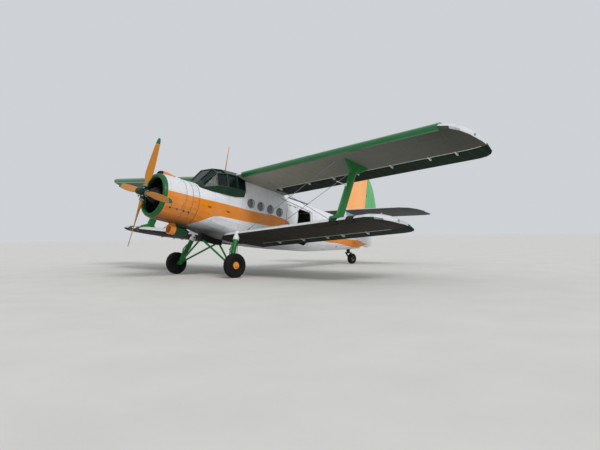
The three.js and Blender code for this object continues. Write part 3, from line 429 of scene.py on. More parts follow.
def paint(name, hexColour, roughness=0.4, coat=0.12, split=None, tailFlash=None, blackTo=None):
    # split: a second colour beyond a distance along one way, as (way, distance, colour);
    # tailFlash: the colour of the tail's flash; blackTo: everything ahead of this place is painted black, as
    # the shade inside an opening
    finish = newFinish(name)
    base = linear(hexColour)
    if split:
        way, distance, otherHex = split
        base = mixColour(finish, pastNode(finish, airReading(finish, way), distance), base, linear(otherHex))
    if tailFlash:
        base = mixColour(finish, flashMask(finish, ("tail",))[0], base, linear(tailFlash))
    if blackTo is not None:
        ahead = pastNode(finish, airReading(finish, aftWay), blackTo, -0.004)
        base = mixColour(finish, ahead, base, linear(paintLook["paintedShade"]))
    colour, stain = weathered(finish, base)
    return coated(finish, {
        "Base Color": colour, "Roughness": rangeNode(finish, stain, 0, 1, roughness, roughness + 0.2),
        "Specular IOR Level": paintLook["specular"], "Coat Weight": coat, "Coat Roughness": 0.2,
        "Normal": bumpNode(finish, noiseNode(finish, *paintLook["peel"]), 0.25, paintLook["peelDepth"]),
    })


def bareMetal(name, hexColour, roughness=0.4, metallic=0.85):
    finish = newFinish(name)
    scratch = noiseNode(finish, 60.0, 10, 0.75)
    base = linear(hexColour)
    return coated(finish, {
        "Base Color": mixColour(finish, rangeNode(finish, scratch, 0.35, 0.7), base, tinted(base, 0.55)),
        "Roughness": rangeNode(finish, scratch, 0.3, 0.75, roughness, roughness + 0.25),
        "Metallic": metallic, "Normal": bumpNode(finish, scratch, 0.3, 0.0008),
    })


# The orange flash: its upper and lower edges, as rows of aft and up in metres
flash = {
    "noseUpper": [(0.0, 0.12), (0.28, 0.13), (1.48, 0.17), (2.47, 0.2), (3.4, 0.22), (4.14, 0.235),
                  (4.73, 0.3), (5.25, 0.295), (5.6, 0.25), (5.78, 0.17)],
    "noseLower": [(0.0, -0.98), (1.38, -0.98), (1.54, -0.76), (1.86, -0.54), (2.19, -0.32), (2.5, -0.25),
                  (2.91, -0.23), (3.49, -0.21), (4.3, -0.15), (4.84, -0.11), (5.29, 0.03), (5.78, 0.21)],
    "tailUpper": [(7.2, -0.17), (8.33, 0.12), (9.65, 0.34), (10.36, 0.43), (11.14, 0.5), (11.78, 0.46)],
    "tailLower": [(7.2, -0.13), (8.33, -0.06), (9.02, 0.03), (10.39, 0.1), (10.92, 0.18), (11.78, 0.5)],
    "softness": 0.006,
    "length": 12.0,
    "reach": 1.0,
}


def edgeCurve(finish, aft, rows):
    # reads a table of heights as a curve over the length of the airframe
    length, reach = flash["length"], flash["reach"]
    curve = finish.tree.nodes.new("ShaderNodeFloatCurve")
    points = curve.mapping.curves[0].points
    spots = [(at / length, (up + reach) / (2 * reach)) for at, up in rows]
    spots = [(0.0, spots[0][1])] + [s for s in spots if 0 < s[0] < 1] + [(1.0, spots[-1][1])]
    points[0].location, points[1].location = spots[0], spots[-1]
    for spot in spots[1:-1]:
        points.new(*spot)
    for point in points:
        point.handle_type = "VECTOR"
    curve.mapping.update()
    feed(finish, curve, {"Value": mathNode(finish, "DIVIDE", aft, length)})
    return rangeNode(finish, curve.outputs["Value"], 0, 1, -reach, reach)


def flashMask(finish, ends):
    # 1 between the two edges of each flash; returns also the readings it is made from
    aft, up = airReading(finish, aftWay), airReading(finish, upWay)
    mask = None
    for end in ends:
        top = difference(finish, edgeCurve(finish, aft, flash[end + "Upper"]), up)
        foot = difference(finish, up, edgeCurve(finish, aft, flash[end + "Lower"]))
        band = product(finish, pastNode(finish, top, 0, flash["softness"]),
                        pastNode(finish, foot, 0, flash["softness"]))
        mask = band if mask is None else mathNode(finish, "MAXIMUM", mask, band)
    return mask, aft, up


def insideMask(finish, aft, middle):
    # 1 where a wall faces the fuselage's middle line, which runs at the given height; not at the tail end
    up = airReading(finish, upWay, airOrigin + middle * upWay)
    across = product(finish, airReading(finish, portWay), facing(finish, portWay))
    outward = mathNode(finish, "ADD", across, product(finish, up, facing(finish, upWay)))
    ahead = product(finish, facing(finish, aftWay), 0.3)
    inward = pastNode(finish, difference(finish, outward, ahead), 0, -0.02)
    return product(finish, inward, rangeNode(finish, aft, 11.0, 10.9))


skinLook = {
    "framePitch": 0.56,       # sheet joints along the body, metres
    "frameStart": 1.62,
    "lapHeights": (0.62, -0.36),
    "seam": 0.0035,           # half the width of a joint
    "seamColour": 0x55534C,
    "seamDepth": 0.0012,
    "roughness": 0.36,
    "specular": 0.2,
    # the belly's dark colour, used both for oil streaks and for soot with painted shade
    "oilAndShade": 0x221E18,
    "oilDepth": (-0.35, -0.95),
    "streak": (5.0, 6.0, 0.5),          # noise drawn out along the body
    "streakScale": (1.0, 0.12, 1.6),
    # soot with painted shade under the nose and belly: how far back it reaches, and from which height down
    "smokeShadeReach": (4.4, 2.4),
    "smokeShadeDepth": (-0.5, -0.78),
}


def seamLines(finish, aft, up):
    # thin joints between the sheets: rings along the body, and laps along its sides
    look = skinLook
    bays = mathNode(finish, "DIVIDE", difference(finish, aft, look["frameStart"]), look["framePitch"])
    fromMiddle = difference(finish, mathNode(finish, "FRACT", bays), 0.5)
    edge = 0.5 - look["seam"] / look["framePitch"]
    line = pastNode(finish, size(finish, fromMiddle), edge, 0.002)
    for height in look["lapHeights"]:
        fromLap = size(finish, difference(finish, up, height))
        line = mathNode(finish, "MAXIMUM", line, rangeNode(finish, fromLap, look["seam"], look["seam"] * 0.5))
    return line


def skinPaint(name, groundHex, flashHex, ends=("nose", "tail"), insideHex=0x4A5048, middle=0.35):
    # the fuselage's paint: white with the orange flash, sheet seams, oil streaks on the belly, and soot with
    # painted shade under the nose and belly
    look = skinLook
    finish = newFinish(name)
    mask, aft, up = flashMask(finish, ends)
    colour, stain = weathered(finish, mixColour(finish, mask, linear(groundHex), linear(flashHex)))
    squeezed = addNode(finish, "Mapping", {"Vector": finish.place, "Scale": look["streakScale"]}, "Vector")
    streak = rangeNode(finish, noiseNode(finish, *look["streak"], squeezed), 0.35, 0.75)
    oily = product(finish, rangeNode(finish, up, *look["oilDepth"]), streak)
    # soot and painted shade behind the engine: the belly and the cowl's underside are painted darkest there,
    # as if in shadow, and clear towards the cabin
    paintedShade = product(finish, rangeNode(finish, up, *look["smokeShadeDepth"]),
                    rangeNode(finish, aft, *look["smokeShadeReach"]))
    oilSmokeShade = mathNode(finish, "MAXIMUM", product(finish, oily, 0.6),
                      product(finish, paintedShade, 0.94))
    dark = mixColour(finish, oilSmokeShade, colour, linear(look["oilAndShade"]))
    line = seamLines(finish, aft, up)
    lined = mixColour(finish, product(finish, line, 0.45), dark, linear(look["seamColour"]))
    groove = bumpNode(finish, difference(finish, 1.0, line), 0.6, look["seamDepth"])
    return coated(finish, {
        "Base Color": mixColour(finish, insideMask(finish, aft, middle), lined, linear(insideHex)),
        "Roughness": rangeNode(finish, stain, 0, 1, look["roughness"], 0.55),
        "Specular IOR Level": look["specular"], "Coat Weight": 0.05, "Coat Roughness": 0.18,
        "Normal": bumpNode(finish, noiseNode(finish, 2.6, 2), 0.25, 0.008, groove),
    })


wingLook = {
    "ribPitch": 0.355,
    "tape": 0x5A5C5A,
    "tapeDepth": 0.0018,
    "sag": 0.004,
    "specular": 0.06,
    "hook": 0xC6CDC1,
    # where the painted shade under the wing starts and ends deepening, in metres out from the middle
    "tipShadeSpan": (2.0, 8.5),
}


def wingPaint(name, hexColour, belowShadeHex=None, hooksTo=0.0, tipShadeHex=None):
    # doped fabric over ribs: taped rib lines, a slight sag between them, and painted shade on the downward
    # faces, deepening towards the tip where a tip colour is given
    look = wingLook
    finish = newFinish(name)
    out = size(finish, airReading(finish, portWay))
    base = linear(hexColour)
    if belowShadeHex is not None:
        # painted shade: faces turned downward take the darker underside colour
        below = rangeNode(finish, facing(finish, upWay), -0.3, -0.42)
        under = linear(belowShadeHex)
        # painted shade that deepens from the root out to the tip
        if tipShadeHex is not None:
            under = mixColour(finish, rangeNode(finish, out, *look["tipShadeSpan"]), under, linear(tipShadeHex))
        base = mixColour(finish, below, base, under)
        # the hinge hooks' sides are pale
        across = size(finish, facing(finish, portWay))
        hooks = product(finish, rangeNode(finish, across, 0.9, 0.95),
                         rangeNode(finish, out, hooksTo, hooksTo - 0.01))
        base = mixColour(finish, hooks, base, linear(look["hook"]))
    colour, stain = weathered(finish, base)
    bay = mathNode(finish, "FRACT", mathNode(finish, "DIVIDE", out, look["ribPitch"]))
    off = size(finish, difference(finish, bay, 0.5))
    tape = rangeNode(finish, off, 0.44, 0.455)
    taped = bumpNode(finish, tape, 0.5, look["tapeDepth"], bumpNode(finish, off, 0.5, look["sag"]))
    return coated(finish, {
        "Base Color": mixColour(finish, product(finish, tape, 0.16), colour, linear(look["tape"])),
        "Roughness": rangeNode(finish, stain, 0, 1, 0.62, 0.75), "Specular IOR Level": look["specular"],
        "Normal": bumpNode(finish, noiseNode(finish, 320, 2), 0.2, 0.0004, taped),
    })


def rubber(name):
    finish = newFinish(name)
    dust = noiseNode(finish, 14, 8, 0.7)
    return coated(finish, {
        "Base Color": mixColour(finish, rangeNode(finish, dust, 0.48, 0.85, 0, 0.6),
                                linear(0x0C0C0E), linear(0x35322D)),
        "Roughness": rangeNode(finish, dust, 0.3, 0.8, 0.62, 0.9), "Specular IOR Level": 0.25,
        "Normal": bumpNode(finish, noiseNode(finish, 420, 3), 0.4, 0.0008),
    })


def glass(name, hexColour, cover, roughness, specular):
    finish = newFinish(name)
    film = noiseNode(finish, 6, 6, 0.6)
    base = linear(hexColour)
    return coated(finish, {
        "Base Color": mixColour(finish, rangeNode(finish, film, 0.3, 0.8), base, tinted(base, 0.8)),
        "Roughness": rangeNode(finish, film, 0.4, 0.8, roughness, roughness + 0.1),
        "Alpha": cover, "Specular IOR Level": specular,
    })


bladeLook = {
    "wood": 0xC4802A,
    "tip": 0x1F6B45,
    "tipFrom": 1.61,
    "bandFrom": 1.585,
    "band": 0xC9A24A,
}


def bladePaint(name):
    # ochre blades with a yellow band and a green tip, told by the distance from the shaft
    look = bladeLook
    finish = newFinish(name)
    out = vectorNode(finish, "DISTANCE", finish.place, airOrigin)
    worn = rangeNode(finish, noiseNode(finish, 24, 8, 0.7), 0.5, 0.8, 0, 0.5)
    colour = mixColour(finish, worn, linear(look["wood"]), tinted(linear(look["wood"]), 0.62))
    for part in ("band", "tip"):
        colour = mixColour(finish, pastNode(finish, out, look[part + "From"]), colour, linear(look[part]))
    return coated(finish, {
        "Base Color": colour, "Roughness": rangeNode(finish, worn, 0, 0.5, 0.4, 0.62),
        "Specular IOR Level": paintLook["specular"],
        "Normal": bumpNode(finish, noiseNode(finish, 150, 4), 0.3, 0.0005),
    })


white = skinPaint("fuselage white with orange flash", 0xDFE1E4, 0xE28300)
# the cowl's inner walls are painted near-black as the shade inside the cowl
cowlPaint = skinPaint("cowl orange under white", 0xDCDEE0, 0xE28300, ("nose",), 0x1C1C1A, 0.0)
plainWhite = paint("white enamel", 0xDFE1E4)
paleTrim = paint("pale trim paint", 0xD9DDD8)
doorWhite = paint("passenger door grey-white", 0xC6CAC8)
# the third colour is the underside's painted shade; the upper wing's shade deepens to the last colour towards
# its tip
upperFabric = wingPaint("upper wing fabric", 0xD6D8DA, 0x96958B, 8.4, 0x50504A)
lowerFabric = wingPaint("lower wing fabric", 0xD6D8DA, 0x36332D, 5.9)
tailFabric = wingPaint("tailplane fabric", 0xC9CAC8, 0x55565A)
flapGreen = wingPaint("green fabric", 0x0F5A30, 0x0A2415)
slatGreen = paint("glossy slat green", 0x0B7038, 0.3, 0.5)
green = paint("bright green enamel", 0x067026)
legGreen = paint("leg green under white", 0x067026, split=(upWay, -0.86, 0xDFE1E4))
lipGreen = paint("cowl lip green", 0x055F24, 0.42)
frameGreen = paint("canopy dark green", 0x07331C, 0.45, 0.1)
finOrange = paint("fin pale orange over white", 0xDFE1E4, 0.5, 0.1, (upWay, 1.8, 0xFFB064))
tailStrutWhite = paint("tail strut white", 0xDFE1E4, tailFlash=0xE28300)
engineBlack = paint("engine case black", 0x101112, 0.55, 0.0)
jointGrey = paint("joint shadow grey", 0x6B655D, 0.6, 0.0)
rudderGreen = paint("rudder pale green over white", 0xDFE1E4, 0.5, 0.1, (upWay, 1.24, 0x62B477), 0xE28300)
orange = paint("bright orange enamel", 0xE8880E)
# the air scoop's mouth is painted near-black as the shade inside it
scoopFront = min((v.co - airOrigin).dot(aftWay) for v in frame["nodes"]["air_scoop"].data.vertices)
scoopPaint = paint("scoop orange then white", 0xE08410, split=(aftWay, 0.98, 0xDFE1E4),
                   blackTo=scoopFront + 0.07)
coolerPaint = paint("cooler orange ring on dark green", 0xE08410, split=(aftWay, 1.27, 0x0A4426))
capOrange = paint("wheel cap orange", 0xE8912A)
ochre = paint("mast ochre", 0xC98442, 0.45)
cockpitGrey = paint("cockpit dark grey", 0x202425, 0.6, 0.0)
cabinGrey = paint("cabin pale green-grey", 0x5E6661, 0.6, 0.0)
lampBlack = paint("lamp housing black", 0x08090A, 0.5, 0.0)
greyMetal = bareMetal("grey primed metal", 0x8D8F8C, 0.5, 0.4)
darkMetal = bareMetal("dark oily metal", 0x1A1B1A, 0.5, 0.5)
castMetal = bareMetal("cast engine metal", 0x26292B, 0.5, 0.5)
finMetal = bareMetal("blackened cylinder metal", 0x171718, 0.5, 0.6)
steel = bareMetal("bare steel", 0xA6ABAE, 0.3, 0.95)
tyreRubber = rubber("tyre rubber")
clearGlass = glass("porthole glass", 0x868B8C, 0.86, 0.3, 0.3)
# the canopy glass is tinted near-black and nearly opaque, as painted shade of the cockpit behind it
canopyGlass = glass("canopy glass", 0x0E1A1B, 0.72, 0.16, 0.35)
lampGlass = glass("lamp glass", 0x0C0F12, 0.97, 0.12, 0.35)
tipGlass = glass("tip lamp glass", 0x9AA5A8, 0.9, 0.1, 0.5)
bladeOchre = bladePaint("blade ochre with green tip")

nodeFinish = {
    "cabin_shell": white, "rear_fuselage": white, "cargo_door": white, "passenger_door": doorWhite,
    "canopy_frame": frameGreen, "canopy_glazing": canopyGlass,
    "cabin_floor": cabinGrey, "cockpit_floor": cockpitGrey,
    "cabin_glass_left": clearGlass, "cabin_glass_right": clearGlass,
    "cowl_lip": lipGreen, "cowl_flaps": cowlPaint, "cowl_panel_left": cowlPaint,
    "cowl_panel_right": cowlPaint, "engine_crankcase": engineBlack, "engine_cylinders": finMetal,
    "exhaust_pipe": darkMetal, "oil_cooler": coolerPaint, "air_scoop": scoopPaint,
    "propeller_hub": frameGreen, "keel_bracket": darkMetal, "fin": finOrange, "rudder": rudderGreen,
    "tail_fork": darkMetal, "tail_leg": darkMetal, "tail_wheel": tyreRubber, "aerial_mast": ochre,
}
for number in range(1, 5):
    nodeFinish[f"propeller_blade_{number}"] = bladeOchre
for side in ("left", "right"):
    nodeFinish.update({
        f"upper_wing_{side}": upperFabric, f"lower_wing_{side}": lowerFabric,
        f"tailplane_{side}": tailFabric, f"elevator_{side}": tailFabric,
        f"slat_{side}": slatGreen, f"flap_upper_{side}": flapGreen, f"aileron_{side}": flapGreen,
        f"flap_lower_{side}": flapGreen,
        f"interplane_strut_{side}": green, f"bracing_wires_{side}": steel,
        f"tail_strut_{side}": tailStrutWhite, f"main_leg_{side}": legGreen,
        f"tyre_{side}": tyreRubber, f"wheel_hub_{side}": orange,
    })
for nodeName, node in frame["nodes"].items():
    node.data.materials.clear()
    node.data.materials.append(nodeFinish[nodeName])
    softEdges(node)
print("finishes on", len(nodeFinish), "nodes")


# Propeller: smooth blades in the hub's four barrels
propeller = {
    "lean": 12.7,
    "blades": 4,
    "plane": -0.02,
    "rows": [                # distance out, half chord, half thickness, pitch in degrees
        (0.2703, 0.058, 0.058, 50), (0.34, 0.062, 0.057, 48), (0.42, 0.088, 0.046, 46),
        (0.55, 0.120, 0.034, 42), (0.7, 0.131, 0.026, 38), (1.15, 0.120, 0.017, 29),
        (1.55, 0.094, 0.0105, 23), (1.70, 0.074, 0.0085, 21), (1.77, 0.052, 0.007, 20),
        (1.80, 0.030, 0.005, 20),
    ],
    "steps": 46,
    "sides": 24,
    "clamp": (0.205, 0.262, 0.088),    # from, to, radius
    "lug": (0.008, (0.03, 0.05, 0.05), 0.034),         # gap, block, half length of its bolt
    "weight": ((0.15, 0.09, -0.06), (0.03, -0.05)),    # out, across and aft; its arm's run
    "bolts": (0.086, -0.246, 8),       # radius, aft, how many
}


def spokeWays(turn):
    # across and out for a spoke at an angle round the shaft, from straight up towards port
    return (portWay * cos(turn) - upWay * sin(turn),
            portWay * sin(turn) + upWay * cos(turn))


def bladeWays(number):
    return spokeWays(radians(propeller["lean"] + 360 / propeller["blades"] * number))


def makeBlades():
    for number in range(propeller["blades"]):
        across, out = bladeWays(number)
        rings = []
        foot = airOrigin + aftWay * propeller["plane"]
        for at, halfChord, halfThickness, pitch in smoothRows(propeller["rows"], propeller["steps"]):
            turn = radians(90 - pitch)
            long = (across * sin(turn) + aftWay * cos(turn)) * halfChord
            thick = (aftWay * sin(turn) - across * cos(turn)) * halfThickness
            rings.append(circle(foot + out * at, long, thick, 1, propeller["sides"]))
        shape = newShape()
        addRings(shape, rings)
        piece = makePiece(shape, f"blade_{number + 1}_smooth", bladeOchre, body="propeller")
        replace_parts(piece, f"propeller_blade_{number + 1}")


def makeHubFittings():
    shape = newShape()
    low, high, radius = propeller["clamp"]
    for number in range(propeller["blades"]):
        across, out = bladeWays(number)
        start = airOrigin + aftWay * propeller["plane"]
        addTurned(shape, [(0.076, low), (radius, low), (radius + 0.004, (low + high) / 2), (radius, high),
                          (0.06, high + 0.004), (0.06, low)], start, out, 32)
        for way in (-1, 1):
            gap, block, reach = propeller["lug"]
            lug = start + out * (low + high) / 2 + across * way * (radius + gap)
            addBox(shape, lug, block, (across, aftWay, out))
            addTube(shape, lug - aftWay * reach, lug + aftWay * reach, 0.008, 6)
        # a balance weight on an arm beside each blade's root
        root, run = propeller["weight"]
        arm = start + out * root[0] + across * root[1] + aftWay * root[2]
        addTube(shape, arm, arm + aftWay * run[1] + across * run[0], 0.02, 12, 0.026)
    radius, aft, count = propeller["bolts"]
    addBolts(shape, circle(air(0, aft, 0), portWay, upWay, radius, count), aftWay * -0.012, 0.008)
    makePiece(shape, "hub_clamps_and_bolts", steel, bevel=0.0015, body="propeller")


makeBlades()
makeHubFittings()
print("propeller made")


# Engine: nine finned cylinders on one ring, with rods, pipes and the ignition ring
engine = {
    "count": 9,
    "aft": 0.76,
    "collar": [
        (0.3001, 0.64), (0.33, 0.64), (0.345, 0.655), (0.345, 0.865), (0.33, 0.88), (0.3001, 0.88),
        (0.3001, 0.64),
    ],
    "barrel": (0.335, 0.555, 0.080, 0.099, 14),    # from, to, core radius, fin radius, fins
    "head": (0.562, 0.640, 0.086, 0.112, 6),
    "crown": 0.688,
    "rods": (0.0315, 0.62, 0.30),                  # apart, aft, where they start
    "box": (0.655, 0.058),                         # rocker boxes: out, apart
    "plug": 0.60,
    "ring": (0.405, 0.59, 0.013),                  # ignition ring: radius, aft, half thickness
    "intake": (0.075, 0.9, 0.024),
    # a near-black disc behind the cylinders, painted shade over the firewall seen between them
    "shadeBaffle": (0.305, 0.728, 0.905, 0.909),        # radius from, to, aft from, to
    "case": [                                      # nose case: radius, aft
        (0.0, 0.0703), (0.098, 0.0703), (0.110, 0.078), (0.124, 0.108), (0.148, 0.168), (0.182, 0.222),
        (0.222, 0.278), (0.252, 0.326), (0.270, 0.395), (0.283, 0.480), (0.2995, 0.560), (0.2995, 0.980),
        (0.220, 1.040), (0.200, 1.6090), (0.0, 1.6090),
    ],
    "lip": [                                       # cowl lip: radius, aft
        (0.592, 0.345), (0.596, 0.318), (0.606, 0.298), (0.622, 0.281), (0.642, 0.2715), (0.662, 0.2702),
        (0.682, 0.276), (0.702, 0.290), (0.718, 0.314), (0.732, 0.348), (0.7425, 0.3997), (0.728, 0.3997),
        (0.712, 0.368), (0.690, 0.344), (0.650, 0.332), (0.622, 0.372), (0.606, 0.428), (0.592, 0.345),
    ],
    "caseRibs": 9,
    "caseBolts": (                                 # radius, aft, how many, first angle, height, thickness
        (0.322, 0.64, 36, pi / 36, 0.012, 0.007),
        (0.238, 0.318, 16, 0.0, 0.016, 0.009),
    ),
}


def finned(low, high, core, fin, count):
    profile = [(core, low)]
    pitch = (high - low) / count
    for i in range(count):
        at = low + pitch * i
        profile += [(core, at + pitch * 0.2), (fin, at + pitch * 0.3), (fin, at + pitch * 0.7),
                    (core, at + pitch * 0.8)]
    return profile


def makeEngine():
    cylinders, pipes, collar, case, lip, shadeBaffle = newShapes(6)
    centre = airOrigin + aftWay * engine["aft"]
    radius, ringAft, thick = engine["ring"]
    for number in range(engine["count"]):
        across, out = spokeWays(fullTurn * number / engine["count"])
        profile = [(0.0, 0.31), (0.092, 0.31), (0.092, 0.33)] + finned(*engine["barrel"])
        profile += finned(*engine["head"]) + [(0.09, 0.645), (0.07, engine["crown"]), (0.0, engine["crown"])]
        addTurned(cylinders, profile, centre, out, 20)
        apart, aft, low = engine["rods"]
        for way in (-1, 1):
            box = centre + out * engine["box"][0] + across * way * engine["box"][1]
            addTube(cylinders, box - aftWay * 0.07, box + aftWay * 0.06, 0.032, 14, 0.026)
            foot = air(0, aft, 0) + out * low + across * way * apart
            addTube(pipes, foot, box - aftWay * 0.06, 0.0095, 8)
            addTube(pipes, foot - out * 0.012, foot + out * 0.02, 0.016, 8)
        plug = centre - aftWay * 0.085 + out * engine["plug"]
        ringSpot = airOrigin + aftWay * ringAft + out * radius
        lead = [ringSpot, ringSpot + out * 0.06 - aftWay * 0.02, plug - aftWay * 0.03, plug]
        addPath(pipes, lead, 0.0055, 6)
        addTube(pipes, plug - aftWay * 0.012, plug + aftWay * 0.03, 0.012, 8)
        side, back, pipe = engine["intake"]
        start = airOrigin + aftWay * back + out * 0.30 + across * side
        addPath(pipes, [start, start + out * 0.12, start + out * 0.24 - aftWay * 0.02,
                        centre + out * 0.6 + across * side * 0.9], pipe, 10)
    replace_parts(makePiece(cylinders, "cylinders_finned", finMetal, 40), "engine_cylinders")
    ring = [(radius + thick * cos(a), ringAft + thick * sin(a))
            for a in [fullTurn * i / 10 for i in range(11)]]
    ring[-1] = ring[0]
    addTurned(pipes, ring, airOrigin, aftWay, 72)
    makePiece(pipes, "engine_rods_and_leads", castMetal, 40)
    # the case's collar, which the cylinders stand on
    addTurned(collar, engine["collar"], airOrigin, aftWay, 72)
    for around, aft, count, start, high, thick in engine["caseBolts"]:
        addBolts(collar, circle(air(0, aft, 0), portWay, upWay, around, count, start), aftWay * -high, thick)
    makePiece(collar, "engine_case_collar", castMetal, 40)
    addTurned(case, engine["case"], airOrigin, aftWay, 72)
    for number in range(engine["caseRibs"]):
        _, out = spokeWays(fullTurn * (number + 0.5) / engine["caseRibs"])
        line = [airOrigin + aftWay * aft + out * (radius + 0.001) for radius, aft in engine["case"][4:9]]
        addPath(case, line, 0.007)
    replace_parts(makePiece(case, "nose_case_smooth", engineBlack, 40), "engine_crankcase")
    addTurned(lip, engine["lip"], airOrigin, aftWay, 96)
    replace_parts(makePiece(lip, "cowl_lip_smooth", lipGreen, 50), "cowl_lip")
    # the near-black baffle disc stands in for the shade inside the cowl behind the cylinders
    inner, reach, low, high = engine["shadeBaffle"]
    addTurned(shadeBaffle, [(inner, low), (reach, low), (reach, high), (inner, high), (inner, low)],
              airOrigin, aftWay, 72)
    makePiece(shadeBaffle, "engine_shade_baffle", darkMetal)


makeEngine()
print("engine made")


# Wheels: tyres with grooves round the tread, rims with a dish and its cap
mainWheel = {
    "profile": [             # radius, half distance across, from the bead to the tread
        (0.2102, 0.091), (0.228, 0.108), (0.262, 0.122), (0.300, 0.1295), (0.336, 0.1285), (0.364, 0.118),
        (0.384, 0.101), (0.3945, 0.080), (0.3985, 0.062),
    ],
    "grooves": (0.045, 0.017),
    "tread": 0.400,
    "grooveDepth": 0.007,
    "grooveWidth": 0.005,
    "sides": 96,
    "rim": [
        (0.0, -0.108), (0.085, -0.108), (0.10, -0.085), (0.105, -0.06), (0.185, -0.058), (0.196, -0.084),
        (0.2098, -0.088), (0.2098, 0.088), (0.198, 0.088), (0.188, 0.062), (0.150, 0.050), (0.122, 0.060),
        (0.122, 0.066), (0.0, 0.066),
    ],
    "cap": [
        (0.0, 0.066), (0.118, 0.066), (0.120, 0.074), (0.114, 0.088), (0.096, 0.092), (0.084, 0.086),
        (0.066, 0.090), (0.056, 0.118), (0.046, 0.134), (0.024, 0.141), (0.0, 0.1415),
    ],
    "bolts": (0.158, 0.052, 8),        # radius, distance across, how many
    "screws": (0.105, 0.090, 6),
}
tailWheel = {
    "profile": [
        (0.1152, 0.066), (0.135, 0.084), (0.160, 0.096), (0.183, 0.0995), (0.205, 0.094), (0.222, 0.078),
        (0.231, 0.060), (0.2345, 0.046),
    ],
    "grooves": (0.03, 0.01),
    "tread": 0.235,
    "grooveDepth": 0.005,
    "grooveWidth": 0.004,
    "sides": 80,
    "rim": [(0.0, 0.0595), (0.043, 0.0595), (0.05, 0.05), (0.09, 0.036), (0.104, 0.046), (0.1148, 0.064)],
}


def tyreProfile(wheel):
    side = wheel["profile"]
    tread = wheel["tread"]
    bottom, half = tread - wheel["grooveDepth"], wheel["grooveWidth"] / 2
    middle = []
    for at in wheel["grooves"]:
        middle += [(tread, at + half * 2), (bottom, at + half), (bottom, at - half), (tread, at - half * 2)]
    right = side + middle
    whole = right + [(radius, -at) for radius, at in reversed(right)]
    return whole + [whole[0]]


def jointSpot(name):
    joint = next(j for j in frame["joints"] if j["name"] == name)
    return Vector(joint["pos_m"])


def makeMainWheels():
    for sideName, way in sides.items():
        hub = jointSpot(f"main_wheel_{sideName}_spin")
        axis = portWay * way
        body = f"main_wheel_{sideName}"
        tyre, rim, cap = newShapes(3)
        addTurned(tyre, tyreProfile(mainWheel), hub, axis, mainWheel["sides"])
        piece = makePiece(tyre, f"tyre_{sideName}_grooved", tyreRubber, 40, body=body)
        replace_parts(piece, f"tyre_{sideName}")
        u, v = sideways(axis)
        addTurned(rim, mainWheel["rim"], hub, axis, 64)
        radius, across, count = mainWheel["bolts"]
        addBolts(rim, circle(hub + axis * across, u, v, radius, count), axis * 0.014, 0.010)
        piece = makePiece(rim, f"wheel_rim_{sideName}", darkMetal, 35, body=body)
        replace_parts(piece, f"wheel_hub_{sideName}")
        addTurned(cap, mainWheel["cap"], hub, axis, 56)
        radius, across, count = mainWheel["screws"]
        addBolts(cap, circle(hub + axis * across, u, v, radius, count), axis * 0.008, 0.006)
        makePiece(cap, f"wheel_cap_{sideName}", capOrange, 30, body=body)


def makeTailWheel():
    hub = jointSpot("tail_wheel_spin")
    tyre, rim = newShape(), newShape()
    addTurned(tyre, tyreProfile(tailWheel), hub, portWay, tailWheel["sides"])
    piece = makePiece(tyre, "tail_tyre_grooved", tyreRubber, 40, body="tail_wheel")
    half = tailWheel["rim"]
    addTurned(rim, [(r, -a) for r, a in half] + half[::-1], hub, portWay, 48)
    for way in (-1, 1):
        out = portWay * way
        addBolts(rim, circle(hub + out * 0.040, aftWay, upWay, 0.07, 6), out * 0.012, 0.006)
    makePiece(rim, "tail_wheel_rim", greyMetal, 35, body="tail_wheel")
    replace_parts(piece, "tail_wheel")


makeMainWheels()
makeTailWheel()
print("wheels made")


# Main gear: collars, torque links and the brake hose on each leg
gear = {
    "top": (1.22, 2.99, -0.70),
    "axle": (1.48, 2.69, -1.88),
    "collar": (0.155, 0.255, 0.097),
    "gland": (0.255, 0.54, 0.078),
    "cuff": (0.54, 0.90, 0.082),
    "links": (0.42, 0.745),               # the torque links' ends down the leg, and their knee
    "knee": (0.58, 0.15),
    "pipe": ((0.2, 0.104), (0.32, 0.104), (0.42, 0.112), (0.52, 0.135), (0.62, 0.140),
             (0.74, 0.115), (0.86, 0.085), (0.93, 0.075)),       # down the leg, and out behind it
    "clips": (0, 1, 5, 7),
}


def makeMainGear():
    for sideName, way in sides.items():
        top = air(way * gear["top"][0], *gear["top"][1:])
        foot = air(way * gear["axle"][0], *gear["axle"][1:])
        along = (foot - top).normalized()
        length = (foot - top).length
        collar, links, hose = newShapes(3)
        for key, shape in (("collar", collar), ("gland", links), ("cuff", links)):
            low, high, radius = gear[key]
            low, high, inner = low * length, high * length, 0.05
            addTurned(shape, [(inner, low), (radius, low), (radius + 0.003, low + 0.01),
                              (radius + 0.003, high - 0.01), (radius, high), (inner, high), (inner, low)],
                      top, along, 40)
        ahead = -(aftWay - along * aftWay.dot(along)).normalized()
        knee = top + along * length * gear["knee"][0] + ahead * gear["knee"][1]
        for end in gear["links"]:
            spot = top + along * length * end + ahead * 0.085
            for apart in (-0.03, 0.03):
                addTube(links, spot + portWay * apart * 1.3, knee + portWay * apart * 0.4, 0.014, 8, 0.011)
            addTube(links, spot - portWay * 0.055, spot + portWay * 0.055, 0.016, 12)
        addTube(links, knee - portWay * 0.03, knee + portWay * 0.03, 0.019, 12)
        makePiece(collar, f"leg_collar_{sideName}", plainWhite, 35)
        makePiece(links, f"torque_links_{sideName}", green, 35, bevel=0.001)
        spots = [top + along * length * at - ahead * off + portWay * way * 0.02 for at, off in gear["pipe"]]
        addPath(hose, spots, 0.009)
        for at in gear["clips"]:
            addTube(hose, spots[at] - along * 0.012, spots[at] + along * 0.012, 0.014, 8)
        makePiece(hose, f"brake_pipe_{sideName}", tyreRubber, 40)


makeMainGear()
print("main gear dressed")


